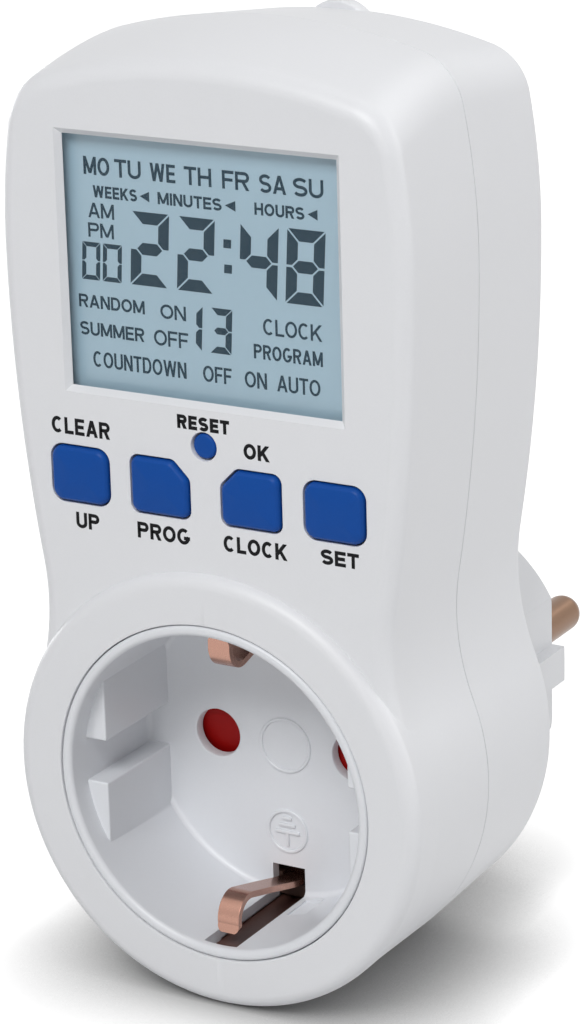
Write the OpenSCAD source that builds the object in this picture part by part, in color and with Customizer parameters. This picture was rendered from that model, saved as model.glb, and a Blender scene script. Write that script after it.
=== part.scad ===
// Plug-in timer switch for a side-earthed wall socket.
// Front faces -Y, plug pins point to +Y, +Z is up, millimetres.
// The origin is the centre of the plug's mating face.

/* [Socket] */
// Outer diameter of the raised ring round the socket
ring_d = 54.2; // [52.6:0.2:58]
// Outer diameter of the socket insert
insert_d = 41.8; // [41.4:0.1:43]
// Diameter of the well that takes the plug
well_d = 39; // [38.6:0.1:39.4]
// Depth of the well's floor behind the ring's front
well_depth = 17.5; // [16.5:0.1:18]
// Distance between the two contact holes, and between the two pins
contact_pitch = 19; // [18.6:0.1:19.4]
// Diameter of a contact hole
contact_hole_d = 6; // [5.4:0.1:6.4]
// Thickness of the well's floor
floor_t = 1.4; // [1.2:0.1:2.6]
// Distance of the guide blocks' flat faces from the socket's axis
guide_flat = 16.5; // [16:0.1:17.2]
// Width of the channel between two guide blocks
guide_channel = 5.4; // [4.6:0.1:6.4]
// How far the guide blocks start behind the ring's front
guide_set_back = 3.3; // [2:0.1:5]
// Width of the slots for the earth clips
earth_slot_w = 4.5; // [4:0.1:5.4]

/* [Housing] */
// Depth from the ring's front to the plug's face
total_depth = 57.6; // [56:0.1:60]
// Depth from the ring's front to the rear wall
housing_depth = 36.3; // [35.5:0.1:37.5]
// Depth from the ring's front to the parting line of the covers
parting_depth = 18.1; // [17:0.1:19.5]
// How far the ring stands in front of the upper face
ring_raise = 1.2; // [0.8:0.1:1.6]
// Rounding of the ring's outer edge
ring_edge_r = 1.8; // [1.2:0.1:3]
// Height of the top of the head above the socket's axis
head_top = 85.9; // [85.6:0.1:90]
// Half the largest width of the head
head_half_w = 26.8; // [26.4:0.1:29]
// Height of the head's widest place
widest_z = 63; // [60:0.5:66]
// Radius of the head's long side curves
flank_r = 290; // [220:5:330]
// Radius of the curves above the widest place
shoulder_r = 60; // [54:1:80]
// Radius of the head's upper corners
corner_r = 7; // [6:0.5:8]
// Radius of the head's top curve
crown_r = 78; // [72:1:100]
// Radius of the hollow curves between head and ring
waist_r = 30; // [24:1:34]
// Wall thickness of both covers
wall_t = 2.2; // [1.8:0.1:2.4]
// Rounding of the front face's edge
edge_r = 2; // [1.4:0.1:2.1]
// Rounding of the rear face's edge
rear_edge_r = 1.2; // [0.6:0.1:1.4]
// How much the rear cover narrows on each side towards the rear
rear_draft = 0.4; // [0.2:0.1:0.9]
// How much higher the top is at the rear than at the face
head_rise = 1.5; // [0:0.1:2]
// How much larger the radius of the drum is at the rear than at the face
drum_flare = 0.5; // [0:0.1:1]

/* [Display] */
// Visible width of the display
view_w = 35.6; // [34:0.1:36]
// Visible height of the display
view_h = 29.6; // [28:0.1:30]
// Height of the display's centre above the socket's axis
view_z = 62.2; // [61.8:0.1:62.6]
// Depth of the window behind the face
view_recess = 0.7; // [0.4:0.1:1]
// Width of the bevel round the window
view_bevel = 0.7; // [0.4:0.1:1]
// Thickness of the clear window
window_t = 1.4; // [1:0.1:1.5]
// Thickness of the display's glass cell
glass_t = 2.2; // [1.6:0.1:2.3]

/* [Keys] */
// Width of a key
key_w = 7.7; // [7:0.1:8.4]
// Height of a key
key_h = 6.7; // [6:0.1:7.4]
// Distance of the inner keys from the middle
inner_key_x = 6.05; // [5.6:0.05:6.3]
// Distance of the outer keys from the middle
outer_key_x = 16.9; // [16.4:0.1:17.2]
// Height of the keys above the socket's axis
key_z = 36.7; // [36.2:0.1:37.2]
// How far the keys stand in front of the face
key_proud = 0.7; // [0.2:0.1:1.2]
// Travel of a key
key_travel = 1; // [0.6:0.1:1.2]
// Width of the cut corner on the inner keys
key_notch = 2.1; // [1.6:0.1:2.4]
// Diameter of the reset key
reset_d = 3; // [2.6:0.1:3.2]
// Height of the reset key above the socket's axis
reset_z = 42.3; // [42:0.1:42.6]

/* [Plug] */
// Diameter of the plug's body
plug_d = 37.2; // [36.6:0.1:37.6]
// Distance of the plug's side flats from its axis
plug_flat = 16.2; // [15.9:0.1:16.4]
// Height of the plug's side flats
plug_flat_h = 17.6; // [16:0.2:20]
// Width of the guide ribs on the side flats
plug_rib_w = 4.6; // [4:0.1:5.2]
// Diameter of a pin
pin_d = 4.8; // [4:0.1:4.8]
// Length of a pin in front of the plug's face
pin_len = 19; // [18.5:0.1:19.5]
// How far the plug goes into a wall socket
plug_depth = 17.5; // [16.5:0.1:18]

/* [Boards] */
// Thickness of both circuit boards
board_t = 1.6; // [1.2:0.1:1.6]
// Depth of the display board behind the upper face
display_board_depth = 6.4; // [6.2:0.1:6.8]
// Gap between the power board and the rear wall
power_board_gap = 2.4; // [2:0.1:3]

/* [Shutter] */
// Thickness of the shutter
shutter_t = 2.4; // [2:0.1:2.6]
// Radius of the shutter's blades
blade_r = 3.7; // [3.5:0.1:3.9]

/* [Fits] */
// Gap round each key in its opening
key_gap = 0.2; // [0.15:0.05:0.3]
// Gap round the insert in the front cover
insert_gap = 0.1; // [0.05:0.05:0.2]
// Gap between the shutter and its neighbours
shutter_gap = 0.25; // [0.15:0.05:0.3]
// Gap round fixed inner pieces
seat_gap = 0.1; // [0.05:0.05:0.15]

/* [Hidden] */
$fn = 64;

// Planes along the depth
y_ring = -total_depth;
y_face = y_ring + ring_raise;
y_wall = y_face + wall_t;
y_floor = y_ring + well_depth;
y_floor_back = y_floor + floor_t;
y_part = y_ring + parting_depth;
y_rear = y_ring + housing_depth;
y_rear_wall = y_rear - wall_t;
y_window = y_face + view_recess;
y_glass = y_window + window_t;
y_glass_back = y_glass + glass_t;
y_board = y_face + display_board_depth;
y_board_back = y_board + board_t;
y_power_back = y_rear_wall - power_board_gap;
y_power = y_power_back - board_t;

ring_r = ring_d / 2;
ring_overhang = 0.15;
drum_r = ring_r - ring_overhang;
insert_r = insert_d / 2 - insert_gap;
insert_hole_r = insert_d / 2;
well_r = well_d / 2;
plug_r = plug_d / 2;
pin_r = pin_d / 2;
contact_x = contact_pitch / 2;
hole_r = contact_hole_d / 2;

// Parting line of the covers, and the raised nub at the top of the rear one
parting_groove = 0.25;
lip_h = 1.5;
lip_inset = wall_t / 2;
rear_inset = wall_t + rear_draft;
nub_r = 4.8;
nub_rise = 1.2;

// Display stack
pocket_rim = 1.8;
window_w = view_w + 2 * pocket_rim - 2 * seat_gap;
window_h = view_h + 2 * pocket_rim - 2 * seat_gap;
glass_w = view_w + 1.8;
glass_h = view_h + 1.8;
reflector_t = 0.3;
reflector_w = glass_w - 1;
reflector_h = glass_h - 4.6;
holder_w = glass_w + 2;
holder_h = glass_h + 1.2;
zebra_w = glass_w - 3.4;
zebra_h = 1.6;
zebra_z = glass_h / 2 - 1;

// Keys
key_corner_r = 1.5;
key_edge_r = 0.9;
key_flange = 0.5;
key_flange_t = 1;
y_key = y_face - key_proud;
y_key_flange = y_wall + seat_gap;
y_key_back = y_key_flange + key_flange_t;
reset_recess = 0.1;
reset_r = reset_d / 2;
dome_r = 3;
reset_dome_r = 1.7;
dome_wall = 0.7;
dome_gap = 0.05;
y_mat = y_key_back + dome_gap + dome_wall + key_travel;

// Screws and what they go into
housing_screws_at = [[9, head_top - 5.1], [-9, head_top - 5.1], [17.6, 21.5], [-17.6, 21.5]];
housing_screw_r = 1.1;
housing_head_r = 2.2;
housing_head_t = 1.5;
screw_recess = 5.5;
screw_recess_r = 2.5;
rear_tube_r = 3.4;
front_pillar_r = 2;
y_screw_seat = y_rear - screw_recess;
y_screw_tip = y_part - 8;
board_boss_r = 1.7;
board_boss_x = holder_w / 2 + board_boss_r + 0.2;
board_screws_at = [for (x = [-1, 1], z = [view_z - 18.4, view_z + 10.8]) [x * board_boss_x, z]];
small_screw_r = 0.75;
small_head_r = 1.6;
small_head_t = 1.1;
screw_play = 0.05;
power_boss_r = 2.2;
power_screws_at = [for (x = [-1, 1], z = [36, 66]) [x * 19.4, z]];
display_board_z = [31.2, 78.4];
power_board_z = [27.5, 76.4];

// Socket insert and what lies behind it
flange_gap = 0.8;
flange_r = drum_r - wall_t - flange_gap;
flange_t = 1.5;
rim_chamfer = 0.5;
clip_w = 2.9;
clip_t = 0.8;
clip_z = 17.9;
hook_y = y_ring + 5.8;
hook_z = 17.3;
hook_r = 2.5;
slot_low = 15.8;
slot_front = 1;
flat_gap = 0.8;
flat_w = 2.6;
flat_len = 4.8;
flat_end = 1.2;
flat_depth = 0.1;
mark_r = 3.55;
mark_w = 0.35;
mark_t = 0.25;
pivot_r = 1.4;
pivot_play = 0.05;
hub_r = 4.2;
web_w = 6;
ramp_angle = 9;
shutter_turn = 40;
stop_r = 1.2;
stop_play = 0.1;
stop_swing = 2 * asin((blade_r + stop_r + stop_play) / contact_pitch);
y_shutter = y_floor_back + shutter_gap;
y_shutter_back = y_shutter + shutter_t;
y_carrier = y_shutter_back + shutter_gap;
carrier_t = 2.5;
y_carrier_back = y_carrier + carrier_t;
carrier_r = insert_r - 0.4;
chamber_r = 17.6;
carrier_screws_at = [[10.8, 10.8], [-10.8, -10.8]];
carrier_boss_r = 2.2;
spring_r = 2.9;
spring_wire_r = 0.2;
spring_turns = 2.5;
spring_room_r = hub_r;
spring_room = 1.6;
sleeve_r = 3;
sleeve_t = 0.5;
collar_t = 1.5;
collar_h = 3;
sleeve_end = y_floor + pin_len + 0.2;
y_tab = y_rear_wall - 1;

// Plug
plug_chamfer = 0.8;
boss_hole_r = plug_flat - 2;
plug_wall = 2;
pin_ring_r = 3.3;
pin_ring_h = 0.5;
pin_shank_r = 2.2;
pin_collar_r = 3.2;
pin_collar_t = 1.2;
pin_head_t = 1.4;
pin_play = 0.05;
holder_t = 3;
y_holder_back = -6;
y_holder = y_holder_back - holder_t;
y_pin_head = y_holder - pin_head_t;
plug_rib_out = 18;
groove_w = 6;
earth_leg_z = 16.6;
earth_leg_w = 4.4;
earth_leg_end = -1.6;
earth_bar_y = y_rear_wall - seat_gap - clip_t;
clamp_posts_at = [[16.5, 8], [-16.5, 8], [16.5, -8], [-16.5, -8]];
clamp_post_r = 1.4;

// What stands on the display board
chip_at = [-9, 61];
chip_r = 6;
chip_h = 1.4;
crystal_at = [-9, 49.5];
crystal_r = 1;
crystal_len = 6;
cell_at = [11.5, 66];
cell_r = 5.75;
cell_h = 5.6;
cell_tag_t = 0.3;

// What stands on the power board
wire_r = 0.3;
relay_at = [-8, 64.7];
relay_w = 19;
relay_d = 15.4;
relay_h = 15.5;
film_at = [11, 47];
film_w = 17.5;
film_d = 8;
film_h = 13.5;
can_at = [8.5, 61];
can_r = 4;
can_h = 12;
disc_at = [-10, 48.5];
disc_r = 4.5;
disc_t = 3.6;
fuse_at = [-10, 40];
fuse_len = 11;
fuse_r = 1.9;
diode_at = [3, 36.4];
diode_pitch = 3.5;
diode_len = 5;
diode_r = 1.3;
ribbon_x = -3;
ribbon_w = 6;
ribbon_z = 36.6;

CORNERS = [[-1, -1], [1, -1], [1, 1], [-1, 1]];

// ---- Helpers --------------------------------------------------------------------------

function unit(v) = v / norm(v);
function along(a, b, share) = a + (b - a) * share;
function bearing(a, b) = atan2(b[1] - a[1], b[0] - a[0]);

// The point da from a and db from b, on the right of the way from a to b
function meet(a, da, b, db) =
    let (u = unit(b - a), d = norm(b - a), along = (da * da - db * db + d * d) / (2 * d))
    a + along * u + sqrt(da * da - along * along) * [u[1], -u[0]];

// Points along an arc, without its first one
function arc(c, r, from, to, n) =
    [for (i = [1:n]) let (a = from + (to - from) * i / n) c + r * [cos(a), sin(a)]];

// A convex polygon with its corners rounded
function soften(v, r, n = 3) =
    [for (i = [0:len(v) - 1])
        let (c = v[i], a = unit(v[(i + len(v) - 1) % len(v)] - c), b = unit(v[(i + 1) % len(v)] - c),
            half = acos(a * b) / 2, m = c + unit(a + b) * r / sin(half), t = r / tan(half),
            from = bearing(m, c + a * t), sweep = (bearing(m, c + b * t) - from + 540) % 360 - 180)
        for (k = [0:n]) m + r * [cos(from + sweep * k / n), sin(from + sweep * k / n)]];

// A strip of thickness t along a path, as a closed outline
function strip(path, t) =
    let (n = len(path),
        way = [for (i = [0:n - 2]) unit(path[i + 1] - path[i])],
        side = [for (i = [0:n - 1])
            let (b = way[min(i, n - 2)], mean = unit(way[max(i - 1, 0)] + b))
            [-mean[1], mean[0]] * t / 2 / (mean * b)])
    concat([for (i = [0:n - 1]) path[i] + side[i]], [for (i = [n - 1:-1:0]) path[i] - side[i]]);

// A smooth curve through a few points
function smooth(p, steps) =
    let (n = len(p))
    concat([for (i = [0:n - 2], k = [0:steps - 1])
        let (t = k / steps, a = p[max(i - 1, 0)], b = p[i], c = p[i + 1], d = p[min(i + 2, n - 1)])
        b + (c - a) * t / 2 + (2 * a - 5 * b + 4 * c - d) * t * t / 2
            + (3 * b - a - 3 * c + d) * t * t * t / 2], [p[n - 1]]);

// A solid through rings of points, each counter-clockwise when seen along the way
module loft(rings) {
    n = len(rings[0]);
    last = (len(rings) - 1) * n;
    sides = [for (k = [0:len(rings) - 2], i = [0:n - 1])
        let (a = k * n, j = (i + 1) % n) [a + i, a + j, a + n + j, a + n + i]];
    polyhedron([for (r = rings) for (p = r) p],
        concat([[for (i = [n - 1:-1:0]) i]], sides, [[for (i = [0:n - 1]) last + i]]));
}

// A round wire along a path of 3-D points; ref is never parallel to the path
module wire(path, r, ref, sides = 8) {
    n = len(path);
    loft([for (i = [0:n - 1])
        let (t = unit(path[min(i + 1, n - 1)] - path[max(i - 1, 0)]),
            u = unit(cross(t, ref)), v = cross(u, t))
        [for (k = [0:sides - 1]) path[i] + r * (cos(360 * k / sides) * u + sin(360 * k / sides) * v)]]);
}

// A flat shape in x and z, from one depth to another
module slab(from, to) translate([0, to, 0]) rotate([90, 0, 0]) linear_extrude(to - from) children();

// A shape in y and z, of the given width, centred on x
module across(w) translate([-w / 2, 0, 0]) rotate([90, 0, 90]) linear_extrude(w) children();

// A shape in radius and y, turned about the socket's axis
module turned() rotate([-90, 0, 0]) rotate_extrude($fn = 96) children();

// A round bar along y
module bar(r, from, to) translate([0, from, 0]) rotate([-90, 0, 0]) cylinder(r = r, h = to - from);

module at(p) translate([p[0], 0, p[1]]) children();
module both_ways() {
    children();
    rotate([0, 180, 0]) children();
}
module block(w, from, to, z0, z1) translate([-w / 2, from, z0]) cube([w, to - from, z1 - z0]);
module plate2d(w, h) square([w, h], center = true);

// ---- Outline of the housing: arcs that run into one another -----------------------------

flank_c = [head_half_w - flank_r, widest_z];
shoulder_c = [head_half_w - shoulder_r, widest_z];

function how_far_back(y) = (y - y_face) / (y_rear - y_face);

// Right half, from the bottom to the top, moved inwards by inset; back is 0 at the face and 1 at the rear
function half_outline(inset, back = 0) =
    let (r = drum_r + drum_flare * back, crown_c = [0, head_top + head_rise * back - crown_r],
        waist_c = meet([0, 0], r + waist_r, flank_c, flank_r + waist_r),
        corner_c = meet(crown_c, crown_r - corner_r, shoulder_c, shoulder_r - corner_r))
    concat([[0, inset - r]],
        arc([0, 0], r - inset, -90, bearing([0, 0], waist_c), 20),
        arc(waist_c, waist_r + inset, bearing(waist_c, [0, 0]) + 360, bearing(waist_c, flank_c), 6),
        arc(flank_c, flank_r - inset, bearing(flank_c, waist_c), 0, 4),
        arc(shoulder_c, shoulder_r - inset, 0, bearing(shoulder_c, corner_c), 3),
        arc(corner_c, corner_r - inset, bearing(shoulder_c, corner_c), bearing(crown_c, corner_c), 7),
        arc(crown_c, crown_r - inset, bearing(crown_c, corner_c), 90, 3));

function outline(inset, back = 0) =
    let (half = half_outline(inset, back))
    concat(half, [for (i = [len(half) - 2:-1:1]) [-half[i][0], half[i][1]]]);

// Solid through the outline at [depth, inset] stations
module skin(stations)
    loft([for (s = stations) [for (p = outline(s[1], how_far_back(s[0]))) [p[0], s[0], p[1]]]]);

// ---- Covers ---------------------------------------------------------------------------

module front_skin() skin(concat(
    [for (a = [90:-22.5:0]) [y_face + edge_r * (1 - sin(a)), edge_r * (1 - cos(a))]],
    [[y_part - parting_groove, 0], [y_part, parting_groove]]));

module socket_ring() turned() polygon(concat(
    [[insert_hole_r, y_ring]],
    [for (a = [90:-15:0]) [ring_r - ring_edge_r * (1 - cos(a)), y_ring + ring_edge_r * (1 - sin(a))]],
    [[ring_r, min(y_face + edge_r, y_wall)], [insert_hole_r, min(y_face + edge_r, y_wall)]]));

module window_opening() {
    loft([for (s = [[y_face - 1, 1], [y_face, 0], [y_window, -view_bevel]])
        let (w = view_w / 2 + view_bevel + s[1] * (s[1] > 0 ? 0 : 1), h = w + (view_h - view_w) / 2)
        [for (c = CORNERS) [c[0] * w, s[0], view_z + c[1] * h]]]);
    slab(y_window - seat_gap, y_wall + 1) translate([0, view_z])
        plate2d(view_w, view_h);
    slab(y_window, y_wall + 1) translate([0, view_z])
        plate2d(window_w + 2 * seat_gap, window_h + 2 * seat_gap);
}

module front_cover() color("whitesmoke") difference() {
    union() {
        difference() {
            union() {
                front_skin();
                socket_ring();
            }
            slab(y_wall, y_part + 1) polygon(outline(wall_t));
        }
        difference() {
            slab(y_part - 1, y_part + lip_h - seat_gap) polygon(outline(lip_inset));
            slab(y_part - 2, y_part + lip_h + 1) polygon(outline(wall_t));
        }
        for (p = housing_screws_at) at(p) bar(front_pillar_r, y_wall - seat_gap, y_part);
        for (p = board_screws_at) at(p) bar(board_boss_r, y_wall - seat_gap, y_board);
    }
    bar(insert_hole_r, y_ring - 1, y_wall + 1);
    window_opening();
    for (k = KEYS) slab(y_key - 1, y_wall + 1) translate([k[0], key_z]) polygon(key_outline(k[1], -key_gap));
    at([0, reset_z]) bar(reset_r + key_gap, y_face - 1, y_wall + 1);
    for (p = housing_screws_at) at(p) bar(housing_screw_r + screw_play, y_screw_tip - 1, y_part + 1);
    for (p = board_screws_at) at(p) bar(small_screw_r + screw_play, y_wall + 0.6, y_board + 1);
}

module plug_body() turned() polygon([[0, y_rear_wall], [plug_r, y_rear_wall],
    [plug_r, -plug_chamfer], [plug_r - plug_chamfer, 0], [0, 0]]);

// What the plug's sides and face lose: flats beside the guide ribs, earth grooves, pin rings
module plug_cuts() {
    both_ways() translate([plug_flat, -plug_depth, 0]) difference() {
        translate([0, 0, -plug_flat_h / 2]) cube([plug_r, plug_depth + 1, plug_flat_h]);
        translate([-1, -1, -plug_rib_w / 2]) cube([plug_rib_out - plug_flat + 1, plug_depth + 3, plug_rib_w]);
    }
    both_ways() block(groove_w, -plug_depth, 1, earth_leg_z, plug_r + 1);
    both_ways() block(earth_leg_w + 2 * seat_gap, y_rear_wall - 1, 0,
        earth_leg_z - seat_gap, earth_leg_z + clip_t + seat_gap);
    for (x = [-contact_x, contact_x]) translate([x, 0, 0]) {
        bar(pin_shank_r + pin_play, -plug_wall - 1, 1);
        bar(pin_ring_r, -pin_ring_h, 1);
    }
}

module rear_cover() color("whitesmoke") difference() {
    union() {
        difference() {
            skin(concat([[y_part, parting_groove], [y_part + parting_groove, 0]],
                [for (a = [0:30:90]) [y_rear - rear_edge_r * (1 - sin(a)),
                    rear_draft + rear_edge_r * (1 - cos(a))]]));
            slab(y_part - 1, y_rear_wall) polygon(outline(rear_inset));
        }
        plug_body();
        for (p = housing_screws_at) at(p) bar(rear_tube_r, y_part, y_rear_wall + seat_gap);
        for (p = power_screws_at) at(p) bar(power_boss_r, y_power_back, y_rear_wall + seat_gap);
        for (p = clamp_posts_at) at(p) bar(clamp_post_r, y_carrier_back, y_rear_wall + seat_gap);
        slab(y_rear - 2, y_rear) translate([0, head_top + head_rise - rear_draft + nub_rise - nub_r])
            circle(r = nub_r);
    }
    difference() {
        bar(boss_hole_r, y_rear_wall - 1, -plug_wall);
        for (a = [45:90:315]) rotate([0, a, 0]) {
            translate([12.4, y_holder_back, -1]) cube([3, 10, 2]);
            translate([13.4, y_holder - 1.2, -1]) cube([2, 1.15, 2]);
        }
    }
    plug_cuts();
    difference() {
        slab(y_part - 1, y_part + lip_h) polygon(outline(lip_inset - seat_gap));
        slab(y_part - 2, y_part + lip_h + 1) polygon(outline(wall_t + seat_gap));
    }
    for (p = housing_screws_at) at(p) {
        bar(housing_screw_r + 0.2, y_part - 1, y_rear);
        bar(screw_recess_r, y_screw_seat, y_rear + 1);
    }
    for (p = power_screws_at) at(p) bar(small_screw_r + screw_play, y_power_back - 1, y_rear_wall + 0.4);
}

// ---- Socket ---------------------------------------------------------------------------

module guide_blocks() both_ways() intersection() {
    bar(well_r + 0.3, y_ring + guide_set_back, y_floor + 0.1);
    difference() {
        translate([guide_flat, y_ring, -well_r]) cube([well_r, well_depth + 1, well_d]);
        translate([guide_flat - 1, y_ring - 1, -guide_channel / 2])
            cube([well_r, well_depth + 3, guide_channel]);
    }
}

module socket_insert() color("whitesmoke") {
    difference() {
        union() {
            difference() {
                union() {
                    bar(insert_r, y_ring, y_floor_back);
                    bar(flange_r, y_wall, y_wall + flange_t);
                }
                turned() polygon([[0, y_ring - 1], [well_r + rim_chamfer + 1, y_ring - 1],
                    [well_r, y_ring + rim_chamfer], [well_r, y_floor], [0, y_floor]]);
            }
            guide_blocks();
            bar(mark_r, y_floor - mark_t, y_floor + 0.1);
            bar(pivot_r, y_floor_back - 0.1, y_carrier_back - 0.5);
            for (p = carrier_screws_at) at(p) bar(carrier_boss_r, y_floor_back - 0.1, y_carrier);
            for (turn = [-stop_swing, shutter_turn + stop_swing]) rotate([0, turn, 0]) both_ways()
                translate([contact_x, 0, 0]) bar(stop_r, y_floor_back - 0.1, y_shutter_back);
        }
        bar(mark_r - mark_w, y_floor - mark_t - 1, y_floor);
        for (x = [-contact_x, contact_x]) translate([x, 0, 0]) bar(hole_r, y_floor - 1, y_floor_back + 1);
        both_ways() block(earth_slot_w, y_ring + slot_front, y_floor_back + 1, slot_low, insert_r + 1);
        both_ways() translate([earth_slot_w / 2 + flat_gap, y_floor - flat_end, flat_depth - well_r])
            translate([0, -flat_len, 0]) cube([flat_w, flat_len, 3]);
        for (p = carrier_screws_at) at(p) bar(0.9, y_floor_back + 0.2, y_carrier + 1);
    }
}

// Turns about the pivot on the insert when both pins press on its ramps
module safety_shutter() color("firebrick") difference() {
    slab(y_shutter, y_shutter_back) {
        circle(r = hub_r);
        plate2d(contact_pitch, web_w);
        for (x = [-contact_x, contact_x]) translate([x, 0]) circle(r = blade_r);
    }
    bar(pivot_r + pivot_play, y_shutter - 1, y_shutter_back + 1);
    translate([spring_r, 0, 0]) bar(spring_wire_r + 0.15, y_shutter_back - 1.4, y_shutter_back + 1);
    both_ways() translate([contact_x, y_shutter, -1.6]) rotate([-ramp_angle, 0, 0])
        translate([-4.6, -5, 0]) cube([9.2, 5, 9]);
}

module shutter_spring() color("silver") {
    y0 = y_carrier + 0.35;
    pitch = (spring_room - 0.7) / spring_turns;
    rings = 16 * spring_turns;
    wire([for (i = [0:rings]) let (a = 360 * i / 16)
        [spring_r * cos(a), y0 + pitch * i / 16, spring_r * sin(a)]], spring_wire_r, [0, 1, 0], 6);
    translate([spring_r, 0, 0]) bar(spring_wire_r * 0.9, y_shutter_back - 1, y0);
    rotate([0, -360 * spring_turns, 0]) translate([spring_r, 0, 0])
        bar(spring_wire_r * 0.9, y0 + pitch * spring_turns, y_carrier + spring_room + 0.6);
}

module contact_carrier() color("gainsboro") difference() {
    union() {
        difference() {
            bar(carrier_r, y_floor_back, y_carrier_back);
            bar(chamber_r, y_floor_back - 1, y_carrier);
        }
        for (x = [-contact_x, contact_x]) translate([x, 0, 0])
            bar(sleeve_r + seat_gap + collar_t, y_carrier_back - 0.1, y_carrier_back + collar_h);
    }
    for (x = [-contact_x, contact_x]) translate([x, 0, 0]) {
        bar(pin_r + 0.3, y_carrier - 1, y_carrier_back + 1);
        bar(sleeve_r + seat_gap, y_carrier_back, y_carrier_back + collar_h + 1);
    }
    bar(pivot_r + pivot_play, y_carrier - 1, y_carrier_back + 1);
    bar(spring_room_r, y_carrier - 1, y_carrier + spring_room);
    rotate([0, -360 * spring_turns, 0]) translate([spring_r, 0, 0])
        bar(spring_wire_r + 0.15, y_carrier, y_carrier_back - 0.1);
    both_ways() block(clip_w + 0.6, y_floor_back - 1, y_carrier_back + 1, clip_z - 0.8, clip_z + 0.8);
    for (p = carrier_screws_at) at(p) bar(1.1, y_carrier - 1, y_carrier_back + 1);
}

module carrier_screws() color("silver") for (p = carrier_screws_at) at(p) {
    bar(1.9, y_carrier_back, y_carrier_back + 1.1);
    bar(0.85, y_floor_back + 0.4, y_carrier_back + 0.1);
}

// One stamped strap: a bar behind the carrier, with a sprung hook at each end
module socket_earth_clips() color("peru") {
    y_bar = y_carrier_back + seat_gap / 2 + clip_t / 2;
    hook = concat([[hook_y - hook_r - 0.2, hook_z + 1.5]], arc([hook_y, hook_z], hook_r, 160, 283, 6),
        [[y_floor - 5, clip_z - 1.4], [y_floor, clip_z - 0.1], [y_bar - 1.2, clip_z]],
        arc([y_bar - 0.8, clip_z - 0.8], 0.8, 90, 0, 4));
    across(clip_w) polygon(strip(concat(hook, [for (i = [len(hook) - 1:-1:0]) [hook[i][0], -hook[i][1]]]),
        clip_t));
}

module earth_pillar() color("goldenrod") bar(1.6, y_carrier_back + seat_gap / 2 + clip_t, earth_bar_y);

module contact_sleeve() difference() {
    bar(sleeve_r, y_carrier_back, sleeve_end);
    bar(sleeve_r - sleeve_t, y_carrier_back - 1, sleeve_end + 1);
    block(1.2, y_carrier_back + collar_h, sleeve_end + 1, -sleeve_r - 1, 0);
}

module line_contact() color("goldenrod") translate([contact_x, 0, 0]) {
    contact_sleeve();
    block(3.2, y_tab, y_tab + 0.8, sleeve_r - 0.3, 7.5);
}

module neutral_contact() color("goldenrod") translate([-contact_x, 0, 0]) {
    contact_sleeve();
    block(3, y_rear_wall - 0.5, y_pin_head, sleeve_r - 0.2, sleeve_r + 0.6);
    block(3, y_pin_head - 0.8, y_pin_head, -1.5, sleeve_r + 0.6);
}

// ---- Plug -----------------------------------------------------------------------------

module pin_holder() color("gainsboro") difference() {
    bar(boss_hole_r - seat_gap, y_holder, y_holder_back);
    for (x = [-contact_x, contact_x]) translate([x, 0, 0])
        bar(pin_shank_r + pin_play, y_holder - 1, y_holder_back + 1);
}

module plug_pin(x) color("rosybrown") translate([x, 0, 0]) turned() polygon(concat(
    [[0, y_pin_head], [pin_collar_r, y_pin_head], [pin_collar_r, y_holder], [pin_shank_r, y_holder],
     [pin_shank_r, y_holder_back], [pin_collar_r, y_holder_back],
     [pin_collar_r, y_holder_back + pin_collar_t], [pin_shank_r, y_holder_back + pin_collar_t],
     [pin_shank_r, -pin_ring_h], [pin_r, -pin_ring_h]],
    [for (a = [0:15:90]) [pin_r * cos(a), pin_len - pin_r + pin_r * sin(a)]]));
module line_pin() plug_pin(contact_x);
module neutral_pin() plug_pin(-contact_x);

module plug_earth_bracket() color("peru") {
    top = earth_leg_z + clip_t;
    block(earth_leg_w, earth_bar_y, earth_bar_y + clip_t, -top, top);
    both_ways() block(earth_leg_w, earth_bar_y, earth_leg_end, earth_leg_z, top);
}

// ---- Display --------------------------------------------------------------------------

module display_window() color("lightcyan", 0.4) slab(y_window, y_glass)
    translate([0, view_z]) plate2d(window_w, window_h);
module lcd_glass() color("lightslategray") slab(y_glass, y_glass_back)
    translate([0, view_z]) plate2d(glass_w, glass_h);
module lcd_reflector() color("lightgray") slab(y_glass_back, y_glass_back + reflector_t)
    translate([0, view_z]) plate2d(reflector_w, reflector_h);
module zebra_strips() color("dimgray") slab(y_glass_back, y_board)
    for (z = [-zebra_z, zebra_z]) translate([0, view_z + z]) plate2d(zebra_w, zebra_h);

module lcd_holder() color("white") difference() {
    slab(y_wall, y_board) translate([0, view_z]) plate2d(holder_w, holder_h);
    slab(y_wall - 1, y_glass_back + reflector_t) translate([0, view_z])
        plate2d(glass_w + 2 * seat_gap, glass_h + 2 * seat_gap);
    slab(y_wall, y_board + 1) for (z = [-zebra_z, zebra_z]) translate([0, view_z + z])
        plate2d(zebra_w + 2 * seat_gap, zebra_h + 2 * seat_gap);
}

// ---- Keys -----------------------------------------------------------------------------

// Place and cut corner of each key: 1 cuts the top right corner, -1 the top left one
KEYS = [[-outer_key_x, 0], [-inner_key_x, 1], [inner_key_x, -1], [outer_key_x, 0]];

function key_outline(cut_side, inset) =
    let (w = key_w / 2 - inset, h = key_h / 2 - inset, c = key_notch - 0.586 * inset,
        v = cut_side == 0 ? [[-w, -h], [w, -h], [w, h], [-w, h]]
            : [[-w, -h], [w, -h], [w, h - c], [w - c, h], [-w, h]],
        r = max(0.3, key_corner_r - inset),
        p = soften(v, cut_side == 0 ? r : r * 0.7))
    cut_side < 0 ? [for (i = [len(p) - 1:-1:0]) [-p[i][0], p[i][1]]] : p;

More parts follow.
